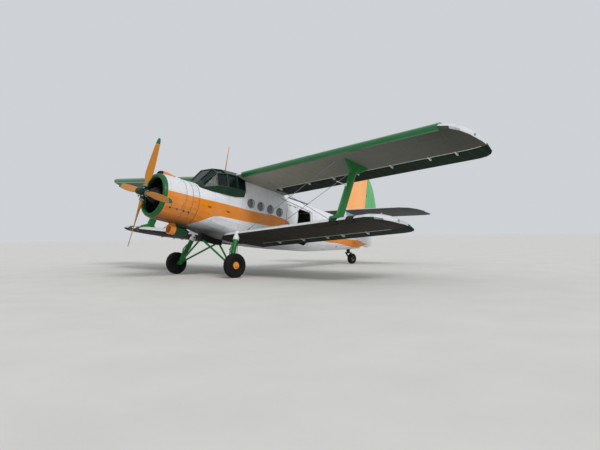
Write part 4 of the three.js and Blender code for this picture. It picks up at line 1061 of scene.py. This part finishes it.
# Wings: cove strips, hinge plates, lamps, strut and wire fittings, pitot head
wingTrim = {
    "coveWidth": 0.026,
    "coveThick": 0.004,
    "cove": {"upper": (1.02, 8.98, 1.585),   # span from, span to, back from the leading edge
             "lower": (1.20, 6.60, 1.315)},
    "hooks": {"upper": ((1.27, 2.66, 3.78, 4.78, 6.08, 7.39, 8.23), 1.70),
              "lower": ((1.95, 3.08, 4.13, 4.77, 5.72), 1.42)},      # spans; the hinge line's distance back
    "hookReach": (-0.17, 0.040),
    "hookWidth": 0.029,
    "lampSpans": (5.49, 6.10),
    "lampWidth": 0.23,
    "lampTurns": (52, -62),                  # degrees round the nose, from above it to underneath
    "lampThick": 0.014,
    "rim": (0.014, 0.018, 6),                # the lamps' rims: width, thickness, degrees beyond the lamp
    "tipLamps": {"upper": (8.99, 1.02), "lower": (7.05, 0.92)},
    "tipRings": ((-0.02, 0.035), (0.006, 0.035), (0.026, 0.028), (0.042, 0.012)),        # height, radius
}


def underWing(skin, which, side, span, aft):
    rise = onWing(which, side, span, aft, 1.0) - onWing(which, side, span, aft, 0.0)
    return dropOn(skin, onWing(which, side, span, aft, -1.2), rise)


def layStrip(shape, skin, which, side, spans, backs, width, steps):
    # a narrow strip under a wing, from one place to another, as wide as given along span and chord
    rows = []
    for way in (-0.5, 0.5):
        rows.append([underWing(skin, which, side, lerp(*spans, i / steps) + way * width[0],
                               lerp(*backs, i / steps) + way * width[1]) for i in range(steps + 1)])
    addFoundSheet(shape, rows, wingTrim["coveThick"])


def noseGrid(skin, side, spans, turns, steps=(8, 12), centre=(0.16, 0.04)):
    # rows of places round the lower wing's leading edge, from its top to its underside
    rows = []
    for i in range(steps[0] + 1):
        span = lerp(*spans, i / steps[0])
        middle = onWing("lower", side, span, *centre)
        row = []
        for k in range(steps[1] + 1):
            turn = radians(lerp(*turns, k / steps[1]))
            start = onWing("lower", side, span, centre[0] - cos(turn), centre[1] + sin(turn))
            row.append(dropOn(skin, start, middle - start))
        rows.append(row)
    return rows


def makeWingTrim(side):
    trim = wingTrim
    cove, hooks, lamps, rims, navs = newShapes(5)
    for which in wings:
        skin = skinOf(f"{which}_wing_{side}")
        low, high, back = trim["cove"][which]
        layStrip(cove, skin, which, side, (low, high), (back, back), (0, trim["coveWidth"]), 60)
        spans, hinge = trim["hooks"][which]
        ahead, behind = trim["hookReach"]
        for span in spans:
            layStrip(hooks, skin, which, side, (span, span), (hinge + ahead, hinge + behind),
                     (trim["hookWidth"], 0), 12)
        span, back = trim["tipLamps"][which]
        start = onWing(which, side, span + 1.2, back - 0.3, 0.05)
        spot, normal = dropOn(skin, start, onWing(which, side, span - 0.6, back + 0.15, 0.05) - start)
        u, v = sideways(normal)
        addRings(navs, [circle(spot + normal * lift, u, v, radius, 16) for lift, radius in trim["tipRings"]])
    makePiece(cove, f"cove_strips_{side}", paleTrim)
    makePiece(hooks, f"hinge_hook_straps_{side}", paleTrim)
    skin = skinOf(f"lower_wing_{side}")
    for span in trim["lampSpans"]:
        half = trim["lampWidth"] / 2
        top, foot = trim["lampTurns"]
        width, thick, beyond = trim["rim"]
        addSheet(lamps, noseGrid(skin, side, (span - half, span + half), (top, foot)), trim["lampThick"])
        for edge in (span - half - width, span + half):
            addSheet(rims, noseGrid(skin, side, (edge, edge + width), (top, foot), (1, 12)), thick)
        for turns in ((top + beyond, top), (foot, foot - beyond)):
            spans = (span - half - width, span + half + width)
            addSheet(rims, noseGrid(skin, side, spans, turns, (8, 1)), thick)
    makePiece(lamps, f"landing_lamps_{side}", lampGlass)
    makePiece(rims, f"landing_lamp_rims_{side}", lampBlack)
    makePiece(navs, f"tip_lamps_{side}", tipGlass)


strutTrim = {
    "pressureHead": (5.3, 3.52, 0.775),
    "headTubes": ((0.0, 0.10, 0.018, 0.012), (0.36, 0.43, 0.013, 0.007)),       # from, to, radii
    "headArm": (0.08, 0.2, 0.36),
    "wires": (                             # inner end, outer end, in port, aft and up
        ((1.0, 3.25, -0.82), (5.08, 3.45, 1.68)),
        ((1.0, 4.10, -0.82), (5.08, 4.40, 1.68)),
        ((0.9, 3.90, 1.48), (5.18, 3.75, -0.47)),
    ),
    "turnbuckle": (0.30, 0.55, 0.015),
}


def makeStrutTrim(side):
    way = sides[side]
    metal = newShape()
    for inner, outer in strutTrim["wires"]:
        a, b = air(way * inner[0], *inner[1:]), air(way * outer[0], *outer[1:])
        along = (b - a).normalized()
        low, high, radius = strutTrim["turnbuckle"]
        for end, turn in ((a, along), (b, -along)):
            addTube(metal, end + turn * low, end + turn * high, radius, 10)
            for at in (low, high):
                addTube(metal, end + turn * (at - 0.02), end + turn * (at + 0.02), radius * 1.35, 6)
    makePiece(metal, f"turnbuckles_{side}", steel)
    if side == "left":
        # the pressure head on its arm, ahead of the strut
        head = newShape()
        root = air(*strutTrim["pressureHead"])
        for near, far, wide, narrow in strutTrim["headTubes"]:
            addTube(head, root - aftWay * near, root - aftWay * far, wide, 12, narrow)
        addPath(head, [root - aftWay * at for at in strutTrim["headArm"]], 0.0085, 12)
        addBox(head, root + aftWay * 0.01, (0.06, 0.07, 0.09))
        makePiece(head, "pressure_head", paleTrim, bevel=0.004)


for sideName in sides:
    makeWingTrim(sideName)
    makeStrutTrim(sideName)
print("wing trim made")


# Fuselage side: porthole rims, door surround, seams, hinges, handles and rivets
sideTrim = {
    "portholes": {"first": 3.69, "pitch": 0.475, "count": 4, "up": 0.48, "from": 0.147, "to": 0.170},
    "doorway": {"aft": (6.13, 6.94), "up": (-0.47, 0.88), "corner": 0.145, "lap": 0.035},
    "cargoDoor": {"aft": (5.5, 7.03), "up": (-0.485, 0.9), "sillTo": 6.08, "hinges": (5.66, 5.95, 7.0),
                  "handle": (5.62, 0.15)},
    "seam": 0.012,
    "rainStrip": ((5.15, 1.04), (6.95, 0.925)),
    "vent": (9.05, -0.12, 0.036),
    "rivetPitch": 0.085,
    "rivetRadius": 0.0042,
}


def doorLoop(aftRange, upRange, corner, steps=7):
    # a rectangle with round corners, as (aft, up) points all the way round
    points = []
    for cornerAft, cornerUp, first in ((1, 1, 0), (0, 1, 90), (0, 0, 180), (1, 0, 270)):
        centreAft = aftRange[cornerAft] + (-corner if cornerAft else corner)
        centreUp = upRange[cornerUp] + (-corner if cornerUp else corner)
        for k in range(steps + 1):
            turn = radians(first + 90 * k / steps)
            points.append((centreAft + corner * cos(turn), centreUp + corner * sin(turn)))
    return points


def bridged(skin, side, aft, up, gap):
    # a place over the open doorway, taken from the skin ahead of it and behind it
    if not (gap[0] - 0.002 < aft < gap[1] + 0.002):
        return onSide(skin, side, aft, up)
    ahead, behind = onSide(skin, side, gap[0] - 0.012, up), onSide(skin, side, gap[1] + 0.012, up)
    share = (aft - gap[0]) / (gap[1] - gap[0])
    port = lerp((ahead[0] - airOrigin).dot(portWay), (behind[0] - airOrigin).dot(portWay), share)
    return air(port, aft, up), ahead[1].lerp(behind[1], share).normalized()


def ringOn(skin, side, aft, up, radius, count):
    return [onSide(skin, side, aft + radius * cos(fullTurn * i / count),
                   up + radius * sin(fullTurn * i / count)) for i in range(count)]


def makePortholeRims(side):
    rims = newShape()
    skin = skinOf("cabin_shell")
    hole = sideTrim["portholes"]
    for k in range(hole["count"]):
        aft = hole["first"] + hole["pitch"] * k
        radii = [lerp(hole["from"], hole["to"], share) for share in (0, 0.3, 1)]
        rows = [ringOn(skin, side, aft, hole["up"], radius, 40) for radius in radii]
        addSheet(rims, rows, 0.006, closed=True)
        screws = ringOn(skin, side, aft, hole["up"], lerp(hole["from"], hole["to"], 0.6), 12)
        for spot, normal in screws:
            addDome(rims, spot + normal * 0.0055, normal, 0.0035, 0.0022)
    makePiece(rims, f"porthole_rims_{side}", greyMetal)


def makeDoorTrim():
    skin = skinOf("cabin_shell", "rear_fuselage", "cargo_door")
    door = sideTrim["doorway"]
    surround, seams, hardware, strip = newShapes(4)
    inner = doorLoop([door["aft"][0] + 0.004, door["aft"][1] - 0.004],
                     [door["up"][0] + 0.004, door["up"][1] - 0.004], door["corner"])
    lap = door["lap"]
    outer = doorLoop([door["aft"][0] - lap, door["aft"][1] + lap],
                     [door["up"][0] - 0.012, door["up"][1] + 0.018], 0.05)
    gap = door["aft"]
    rows = [[bridged(skin, "left", a, u, gap) for a, u in inner],
            [bridged(skin, "left", a, u, gap) for a, u in outer]]
    addSheet(surround, rows, 0.0095, closed=True, sunk=-0.006)
    makePiece(surround, "doorway_surround", plainWhite, 50)
    cargo = sideTrim["cargoDoor"]
    corners = [(cargo["aft"][0], cargo["up"][0]), (cargo["aft"][0], cargo["up"][1]),
               (cargo["aft"][1], cargo["up"][1]), (cargo["aft"][1], cargo["up"][0])]
    for start, end in zip(corners, corners[1:] + corners[:1]):
        if start[1] == end[1] == cargo["up"][0]:
            start, end = end, (cargo["sillTo"], start[1])       # the sill's joint stops at the doorway
        sideStrip(seams, skin, "left", [start, end], sideTrim["seam"], 0.003)
    makePiece(seams, "cargo_door_seal", jointGrey)
    for aft in cargo["hinges"]:
        spot, normal = onSide(skin, "left", aft, cargo["up"][1] - 0.004)
        pin = spot + normal * 0.008
        for end in (-1, 1):
            addTube(hardware, pin + aftWay * end * 0.012, pin + aftWay * end * 0.055, 0.011, 10)
        addBox(hardware, spot - upWay * 0.04 + normal * 0.002, (0.010, 0.09, 0.07))
    spot, normal = onSide(skin, "left", *cargo["handle"])
    addBox(hardware, spot + normal * 0.006, (0.014, 0.16, 0.035))
    addTube(hardware, spot + normal * 0.008 - aftWay * 0.05, spot + normal * 0.030 - aftWay * 0.05, 0.013, 12)
    addTube(hardware, spot + normal * 0.028 - aftWay * 0.055, spot + normal * 0.028 + aftWay * 0.06, 0.008, 10)
    makePiece(hardware, "cargo_door_hinges", greyMetal, bevel=0.0015)
    sideStrip(strip, skinOf("cabin_shell", "rear_fuselage"), "left", sideTrim["rainStrip"], 0.018, 0.012)
    makePiece(strip, "door_rain_strip", greyMetal)


def makeRivets():
    # rows of low domes along the frames and the laps of the sheets, on both sides
    rivets = newShape()
    trim = sideTrim
    skin = skinOf("cabin_shell", "rear_fuselage")
    door = trim["cargoDoor"]
    spots = []
    for side in sides:
        for k in range(17):
            aft = skinLook["frameStart"] + skinLook["framePitch"] * k + 0.018
            if 1.7 < aft < 11.0:
                spots += [(side, aft, -0.9 + j * trim["rivetPitch"]) for j in range(26)]
        for height in skinLook["lapHeights"]:
            spots += [(side, 1.75 + j * trim["rivetPitch"], height + 0.014) for j in range(105)]
    for side, aft, up in spots:
        atDoor = all(door[key][0] - 0.05 < at < door[key][1] + 0.05 for key, at in (("aft", aft), ("up", up)))
        if side == "left" and atDoor:
            continue
        spot, normal = onSide(skin, side, aft, up)
        if spot is None or abs(normal.dot(portWay)) < 0.35 or abs((spot - airOrigin).dot(portWay)) < 0.1:
            continue
        addDome(rivets, spot - normal * 0.0005, normal, trim["rivetRadius"], 0.0024)
    makePiece(rivets, "fuselage_rivets", plainWhite, 60)
    print("rivets:", len(spots), "places")


cowlTrim = {
    "rings": ((1.10, 0.012), (1.352, 0.014), (1.602, 0.016)),
    "lines": (((0.47, -0.37), (1.34, -0.37)), ((1.36, -0.37), (1.58, -0.37))),
    "bars": ((0.63, -0.17, -0.34), (1.03, -0.13, -0.36)),
    "latches": ((0.60, -0.37), (0.86, -0.37), (1.12, -0.37), (1.30, -0.37)),
    "handles": ((1.97, -0.03), (2.72, -0.037)),
    "gills": 22,
}


def makeCowlTrim():
    cowl = skinOf("cowl_panel_left", "cowl_panel_right", "cowl_flaps", "cabin_shell", "cowl_lip")
    lines, latches, vents = newShapes(3)
    for aft, width in cowlTrim["rings"]:
        roundStrip(lines, cowl, aft, width, 0.0016)
    for side in sides:
        for points in cowlTrim["lines"]:
            sideStrip(lines, cowl, side, points, 0.012, 0.0016)
        for aft, top, foot in cowlTrim["bars"]:
            sideStrip(lines, cowl, side, [(aft, top), (aft, foot)], 0.016, 0.0025)
        for aft, up in cowlTrim["latches"]:
            spot, normal = onSide(cowl, side, aft, up)
            rise = (upWay - normal * upWay.dot(normal)).normalized()
            addBox(latches, spot + normal * 0.004, (0.012, 0.034, 0.055), (normal, aftWay, rise))
            pin = spot + normal * 0.004
            addTube(latches, pin - aftWay * 0.013, pin + aftWay * 0.013, 0.0105, 10)
        for aft, up in cowlTrim["handles"]:
            spot, normal = onSide(cowl, side, aft, up)
            addTube(latches, spot, spot + normal * 0.022, 0.014, 12)
            grip = spot + normal * 0.020 + aftWay * 0.035
            addBox(latches, grip, (0.012, 0.11, 0.022), (normal, aftWay, upWay))
    # the gills behind the cowl: narrow slots between their flaps
    for number in range(cowlTrim["gills"]):
        turn = fullTurn * (number + 0.5) / cowlTrim["gills"]
        rows = [[onRound(cowl, lerp(1.365, 1.588, i / 4), turn + way * 0.0035) for i in range(5)]
                for way in (-1, 1)]
        addSheet(lines, rows, 0.0016)
    makePiece(lines, "cowl_joints", jointGrey)
    makePiece(latches, "cowl_latches", darkMetal, bevel=0.0015)
    aft, up, radius = sideTrim["vent"]
    tail = skinOf("rear_fuselage")
    for side in sides:
        centre, normal = onSide(tail, side, aft, up)
        u, v = sideways(normal)
        addRings(vents, [circle(centre + normal * lift, u, v, r, 20)
                         for lift, r in ((-0.012, radius), (0.004, radius), (0.006, radius * 0.8))])
    makePiece(vents, "static_vents", lampBlack)


# Tail and wing top: trim tabs with their rods, and the filler caps
surfaces = {
    "elevator": {"span": (1.15, 2.35), "aft": (11.14, 11.385)},
    "rudder": {"up": (1.75, 2.65), "aft": (11.72, 12.03)},
    "line": 0.009,
    "caps": ((1.05, 0.85), (2.35, 0.85), (3.55, 0.85)),      # span and distance back from the leading edge
    "cap": [(0, -0.004), (0.062, -0.004), (0.062, 0.004), (0.056, 0.007), (0.044, 0.007),
            (0.042, 0.004), (0.032, 0.004), (0.028, 0.009), (0, 0.010)],
}


def drawnLine(shape, place, start, end, steps=10):
    # a narrow raised line between two spots of a surface, which the place function finds
    width = surfaces["line"] / 2
    length = hypot(end[0] - start[0], end[1] - start[1])
    off = (-(end[1] - start[1]) / length * width, (end[0] - start[0]) / length * width)
    spots = [[lerp(a, b, i / steps) for a, b in zip(start, end)] for i in range(steps + 1)]
    rows = [[place(a + off[0] * way, b + off[1] * way) for a, b in spots] for way in (-1, 1)]
    addFoundSheet(shape, rows, 0.0014)


def tabLines(shape, place, first, second):
    low, corner = (first[0], second[0]), (first[1], second[0])
    for start, end in ((low, corner), (low, (first[0], second[1])), (corner, (first[1], second[1]))):
        drawnLine(shape, place, start, end)


def makeTabs():
    for side, way in sides.items():
        skin = skinOf(f"elevator_{side}")
        elevator = surfaces["elevator"]
        lines = newShape()
        for face in (1, -1):
            tabLines(lines, lambda a, b: dropOn(skin, air(way * a, b, 1.7 + face), -upWay * face),
                     elevator["span"], elevator["aft"])
        root = air(way * 1.72, elevator["aft"][0] - 0.10, 1.7)
        spot, normal = dropOn(skin, root + upWay, -upWay)
        addBox(lines, spot + normal * 0.012, (0.012, 0.05, 0.024))
        addTube(lines, spot + normal * 0.02, spot + normal * 0.026 + aftWay * 0.17, 0.005, 8)
        addBox(lines, spot + normal * 0.006 + aftWay * 0.17, (0.012, 0.03, 0.034))
        makePiece(lines, f"elevator_tab_{side}", jointGrey, body=f"elevator_{side}")
    skin = skinOf("rudder")
    rudder = surfaces["rudder"]
    lines = newShape()
    for face in (1, -1):
        tabLines(lines, lambda a, b: dropOn(skin, air(face, b, a), -portWay * face),
                 rudder["up"], rudder["aft"])
    spot, normal = dropOn(skin, air(1, rudder["aft"][0] - 0.09, 2.2), -portWay)
    addBox(lines, spot + normal * 0.010, (0.022, 0.05, 0.012))
    addTube(lines, spot + normal * 0.016, spot + normal * 0.022 + aftWay * 0.16, 0.005, 8)
    makePiece(lines, "rudder_tab", jointGrey, body="rudder")


def makeWingTops(side):
    skin = skinOf(f"upper_wing_{side}")
    caps = newShape()
    for span, aft in surfaces["caps"]:
        start = onWing("upper", side, span, aft, 1.0)
        spot, normal = dropOn(skin, start, onWing("upper", side, span, aft, 0.0) - start)
        addTurned(caps, surfaces["cap"], spot, normal, 36)
        addBox(caps, spot + normal * 0.012, (0.05, 0.010, 0.008), (*sideways(normal), normal))
    makePiece(caps, f"fuel_caps_{side}", greyMetal, 40)


makeTabs()
for sideName in sides:
    makeWingTops(sideName)
print("tabs and caps made")


for sideName in sides:
    makePortholeRims(sideName)
makeDoorTrim()
makeRivets()
makeCowlTrim()
print("fuselage trim made")


# Cockpit and cabin: padded seats, instruments, control columns and pedals
cabin = {
    "seats": (0.43, -0.43),
    "cushion": {"aft": (2.51, 2.85), "up": 0.232, "half": 0.2, "thick": 0.085},
    "back": {"aft": 2.856, "up": (0.3, 0.88), "half": 0.2, "thick": 0.07},
    "bench": {"port": (0.43, 0.80), "aft": (3.62, 5.36), "up": -0.118, "thick": 0.055, "parts": 4},
    "dials": {"aft": 2.002, "rows": ((0.60, 0.040, 6), (0.49, 0.040, 6), (0.38, 0.032, 7)), "pitch": 0.105},
    "column": {"foot": (2.22, -0.075), "top": (2.30, 0.47), "radius": 0.017, "wheel": 0.14},
    "pedals": (0.10, 2.04, 0.02),
}


def addCushion(shape, piping, centre, wide, long, thick, axes, channels=3, steps=26):
    # a crowned closed form: its sides pull in between the corners, with sewn channels across
    side, along, out = axes

    def spot(u, v, top):
        x = wide / 2 * u * (1 - 0.035 * (1 - v * v))
        y = long / 2 * v * (1 - 0.035 * (1 - u * u))
        rise = sqrt(max(0.0, (1 - u ** 6) * (1 - v ** 6)))
        if top:
            sewn = cos(pi * (v + 1) / 2 * channels) ** 12 if 0 < abs(v) < 0.93 else 0.0
            height = thick * (0.42 + (0.48 + 0.1 * (1 - u * u)) * rise * (1 - 0.3 * sewn * rise))
        else:
            height = thick * 0.42 * (1 - rise)
        return centre + side * x + along * y + out * height

    ways = [sin(pi / 2 * (2 * i / steps - 1)) for i in range(steps + 1)]
    first = len(shape["points"])
    count = steps + 1
    for top in (True, False):
        for v in ways:
            shape["points"].extend(spot(u, v, top) for u in ways)
    for layer in (0, 1):
        low = first + layer * count * count
        for r in range(steps):
            for i in range(steps):
                a = low + r * count + i
                face = (a, a + 1, a + count + 1, a + count)
                shape["faces"].append(face if layer == 0 else face[::-1])
    edge = [(u, -1) for u in ways] + [(1, v) for v in ways[1:]] + [(u, 1) for u in ways[-2::-1]]
    edge += [(-1, v) for v in ways[-2::-1]]
    addPath(piping, [spot(u, v, True) for u, v in edge], 0.005, 6)


def makeSeats():
    cushion, back, bench = cabin["cushion"], cabin["back"], cabin["bench"]
    flat = (portWay, aftWay, upWay)
    upright = (portWay, upWay, -aftWay)
    for number, port in enumerate(cabin["seats"]):
        shape, piping = newShapes(2)
        middle = air(port, sum(cushion["aft"]) / 2, cushion["up"])
        addCushion(shape, piping, middle, cushion["half"] * 2, cushion["aft"][1] - cushion["aft"][0],
                   cushion["thick"], flat)
        middle = air(port, back["aft"], sum(back["up"]) / 2)
        addCushion(shape, piping, middle, back["half"] * 2, back["up"][1] - back["up"][0],
                   back["thick"], upright, 5)
        makePiece(shape, f"pilot_seat_pads_{number + 1}", seatLeather, 60)
        makePiece(piping, f"pilot_seat_piping_{number + 1}", lampBlack, 60)
    for sideName, way in sides.items():
        shape, piping = newShapes(2)
        length = (bench["aft"][1] - bench["aft"][0]) / bench["parts"]
        for k in range(bench["parts"]):
            middle = air(way * sum(bench["port"]) / 2, bench["aft"][0] + length * (k + 0.5), bench["up"])
            addCushion(shape, piping, middle, bench["port"][1] - bench["port"][0], length - 0.01,
                       bench["thick"], flat, 2, 18)
        makePiece(shape, f"bench_pads_{sideName}", benchCloth, 60)
        makePiece(piping, f"bench_piping_{sideName}", lampBlack, 60)


def makeCockpit():
    metal, faces, grips = newShapes(3)
    dials = cabin["dials"]
    for up, radius, count in dials["rows"]:
        for k in range(count):
            spot = air((k - (count - 1) / 2) * dials["pitch"] * 1.25, dials["aft"], up)
            addTurned(metal, [(radius * 0.8, 0), (radius, 0), (radius, 0.008), (radius * 0.86, 0.011),
                              (radius * 0.8, 0)], spot, aftWay, 24)
            addTurned(faces, [(0, 0), (radius * 0.8, 0), (radius * 0.8, 0.003), (0, 0.003)], spot, aftWay, 20)
            addBox(metal, spot + aftWay * 0.004 + upWay * radius * 0.25, (0.003, 0.002, radius * 0.5))
    column = cabin["column"]
    for port in cabin["seats"]:
        foot, top = air(port, *column["foot"]), air(port, *column["top"])
        addTube(metal, foot, top, column["radius"], 12, column["radius"] * 0.8)
        wheel = column["wheel"]
        arc = [top + portWay * wheel * cos(t) + upWay * (wheel * 0.8 * sin(t) + 0.02)
               for t in [pi * (1.05 - 1.1 * i / 16) - pi for i in range(17)]]
        addPath(grips, arc, 0.012, 10)
        addPath(grips, [arc[0], top, arc[-1]], 0.010, 8)
        for way in (-1, 1):
            pedal = air(port + way * cabin["pedals"][0], *cabin["pedals"][1:])
            addBox(metal, pedal, (0.09, 0.02, 0.12))
            addTube(metal, pedal - upWay * 0.10, pedal + upWay * 0.02, 0.009, 8)
    for k in range(5):
        root = air(-0.10 + 0.05 * k, 2.04, 0.20)
        lean = root + aftWay * (0.02 + 0.012 * k)
        addTube(metal, root, lean + upWay * 0.11, 0.005, 8)
        top = root + upWay * 0.135 + aftWay * (0.024 + 0.014 * k)
        addTube(grips, lean + upWay * 0.10, top, 0.013, 12, 0.010)
    makePiece(metal, "cockpit_metalwork", greyMetal)
    makePiece(faces, "instrument_faces", lampBlack)
    makePiece(grips, "cockpit_grips", tyreRubber, 50)


seatLeather = rubber("seat leather")
benchCloth = paint("bench canvas", 0x2F3A2C, 0.8, 0.0)
makeSeats()
makeCockpit()
print("seats and cockpit made")


# Floor, light and camera
studio = {
    "floor": 0xD8D6D0,
    "floorSize": 400.0,
    "sky": (0.86, 0.89, 0.93, 1.0),
    "skyStrength": 0.72,
    "keyAngle": (radians(46), 0.0, radians(78)),
    "keyStrength": 1.35,
    "keySpread": radians(22),
    "view": "Standard",
}


def makeFloor():
    mesh = bpy.data.meshes.new("floor")
    reach = studio["floorSize"] / 2
    mesh.from_pydata([(-reach, -reach, 0), (reach, -reach, 0), (reach, reach, 0), (-reach, reach, 0)],
                     [], [(0, 1, 2, 3)])
    floor = bpy.data.objects.new("floor", mesh)
    bpy.context.scene.collection.objects.link(floor)
    finish = newFinish("pale floor")
    base = linear(studio["floor"])
    mottle = rangeNode(finish, noiseNode(finish, 0.8, 6), 0.3, 0.7)
    floor.data.materials.append(coated(finish, {
        "Base Color": mixColour(finish, mottle, base, tinted(base, 0.94)), "Roughness": 0.85,
    }))


def makeLight():
    world = bpy.data.worlds.new("studio")
    bpy.context.scene.world = world
    world.use_nodes = True
    sky = world.node_tree.nodes["Background"]
    sky.inputs["Color"].default_value = studio["sky"]
    sky.inputs["Strength"].default_value = studio["skyStrength"]
    key = bpy.data.lights.new("key light", "SUN")
    key.energy = studio["keyStrength"]
    key.angle = studio["keySpread"]
    lamp = bpy.data.objects.new("key light", key)
    lamp.rotation_euler = studio["keyAngle"]
    bpy.context.scene.view_settings.view_transform = studio["view"]
    bpy.context.scene.collection.objects.link(lamp)


# the camera stands where the photograph was taken from, found from its wheels, blades and wing tips
viewpoint = {
    "place": (15.470, -14.829, 1.380),
    "yaw": -0.77113,
    "pitch": 0.01723,
    "roll": -0.01699,
    "focal": 538.5,          # in pixels of the 600 x 450 picture
    "picture": (600, 450),
}


def makeCamera():
    yaw, pitch = viewpoint["yaw"], viewpoint["pitch"]
    ahead = Vector((sin(yaw) * cos(pitch), cos(yaw) * cos(pitch), sin(pitch)))
    right = Vector((cos(yaw), -sin(yaw), 0))
    above = right.cross(ahead)
    upright = Matrix((right, above, -ahead)).transposed()
    lens = bpy.data.cameras.new("camera")
    lens.sensor_width = 36.0
    lens.lens = viewpoint["focal"] * lens.sensor_width / viewpoint["picture"][0]
    lens.clip_end = 1000
    camera = bpy.data.objects.new("camera", lens)
    turned = upright @ Matrix.Rotation(viewpoint["roll"], 3, "Z")
    camera.matrix_world = Matrix.Translation(viewpoint["place"]) @ turned.to_4x4()
    bpy.context.scene.collection.objects.link(camera)
    bpy.context.scene.camera = camera


makeFloor()
makeLight()
makeCamera()
print("floor, light and camera set")
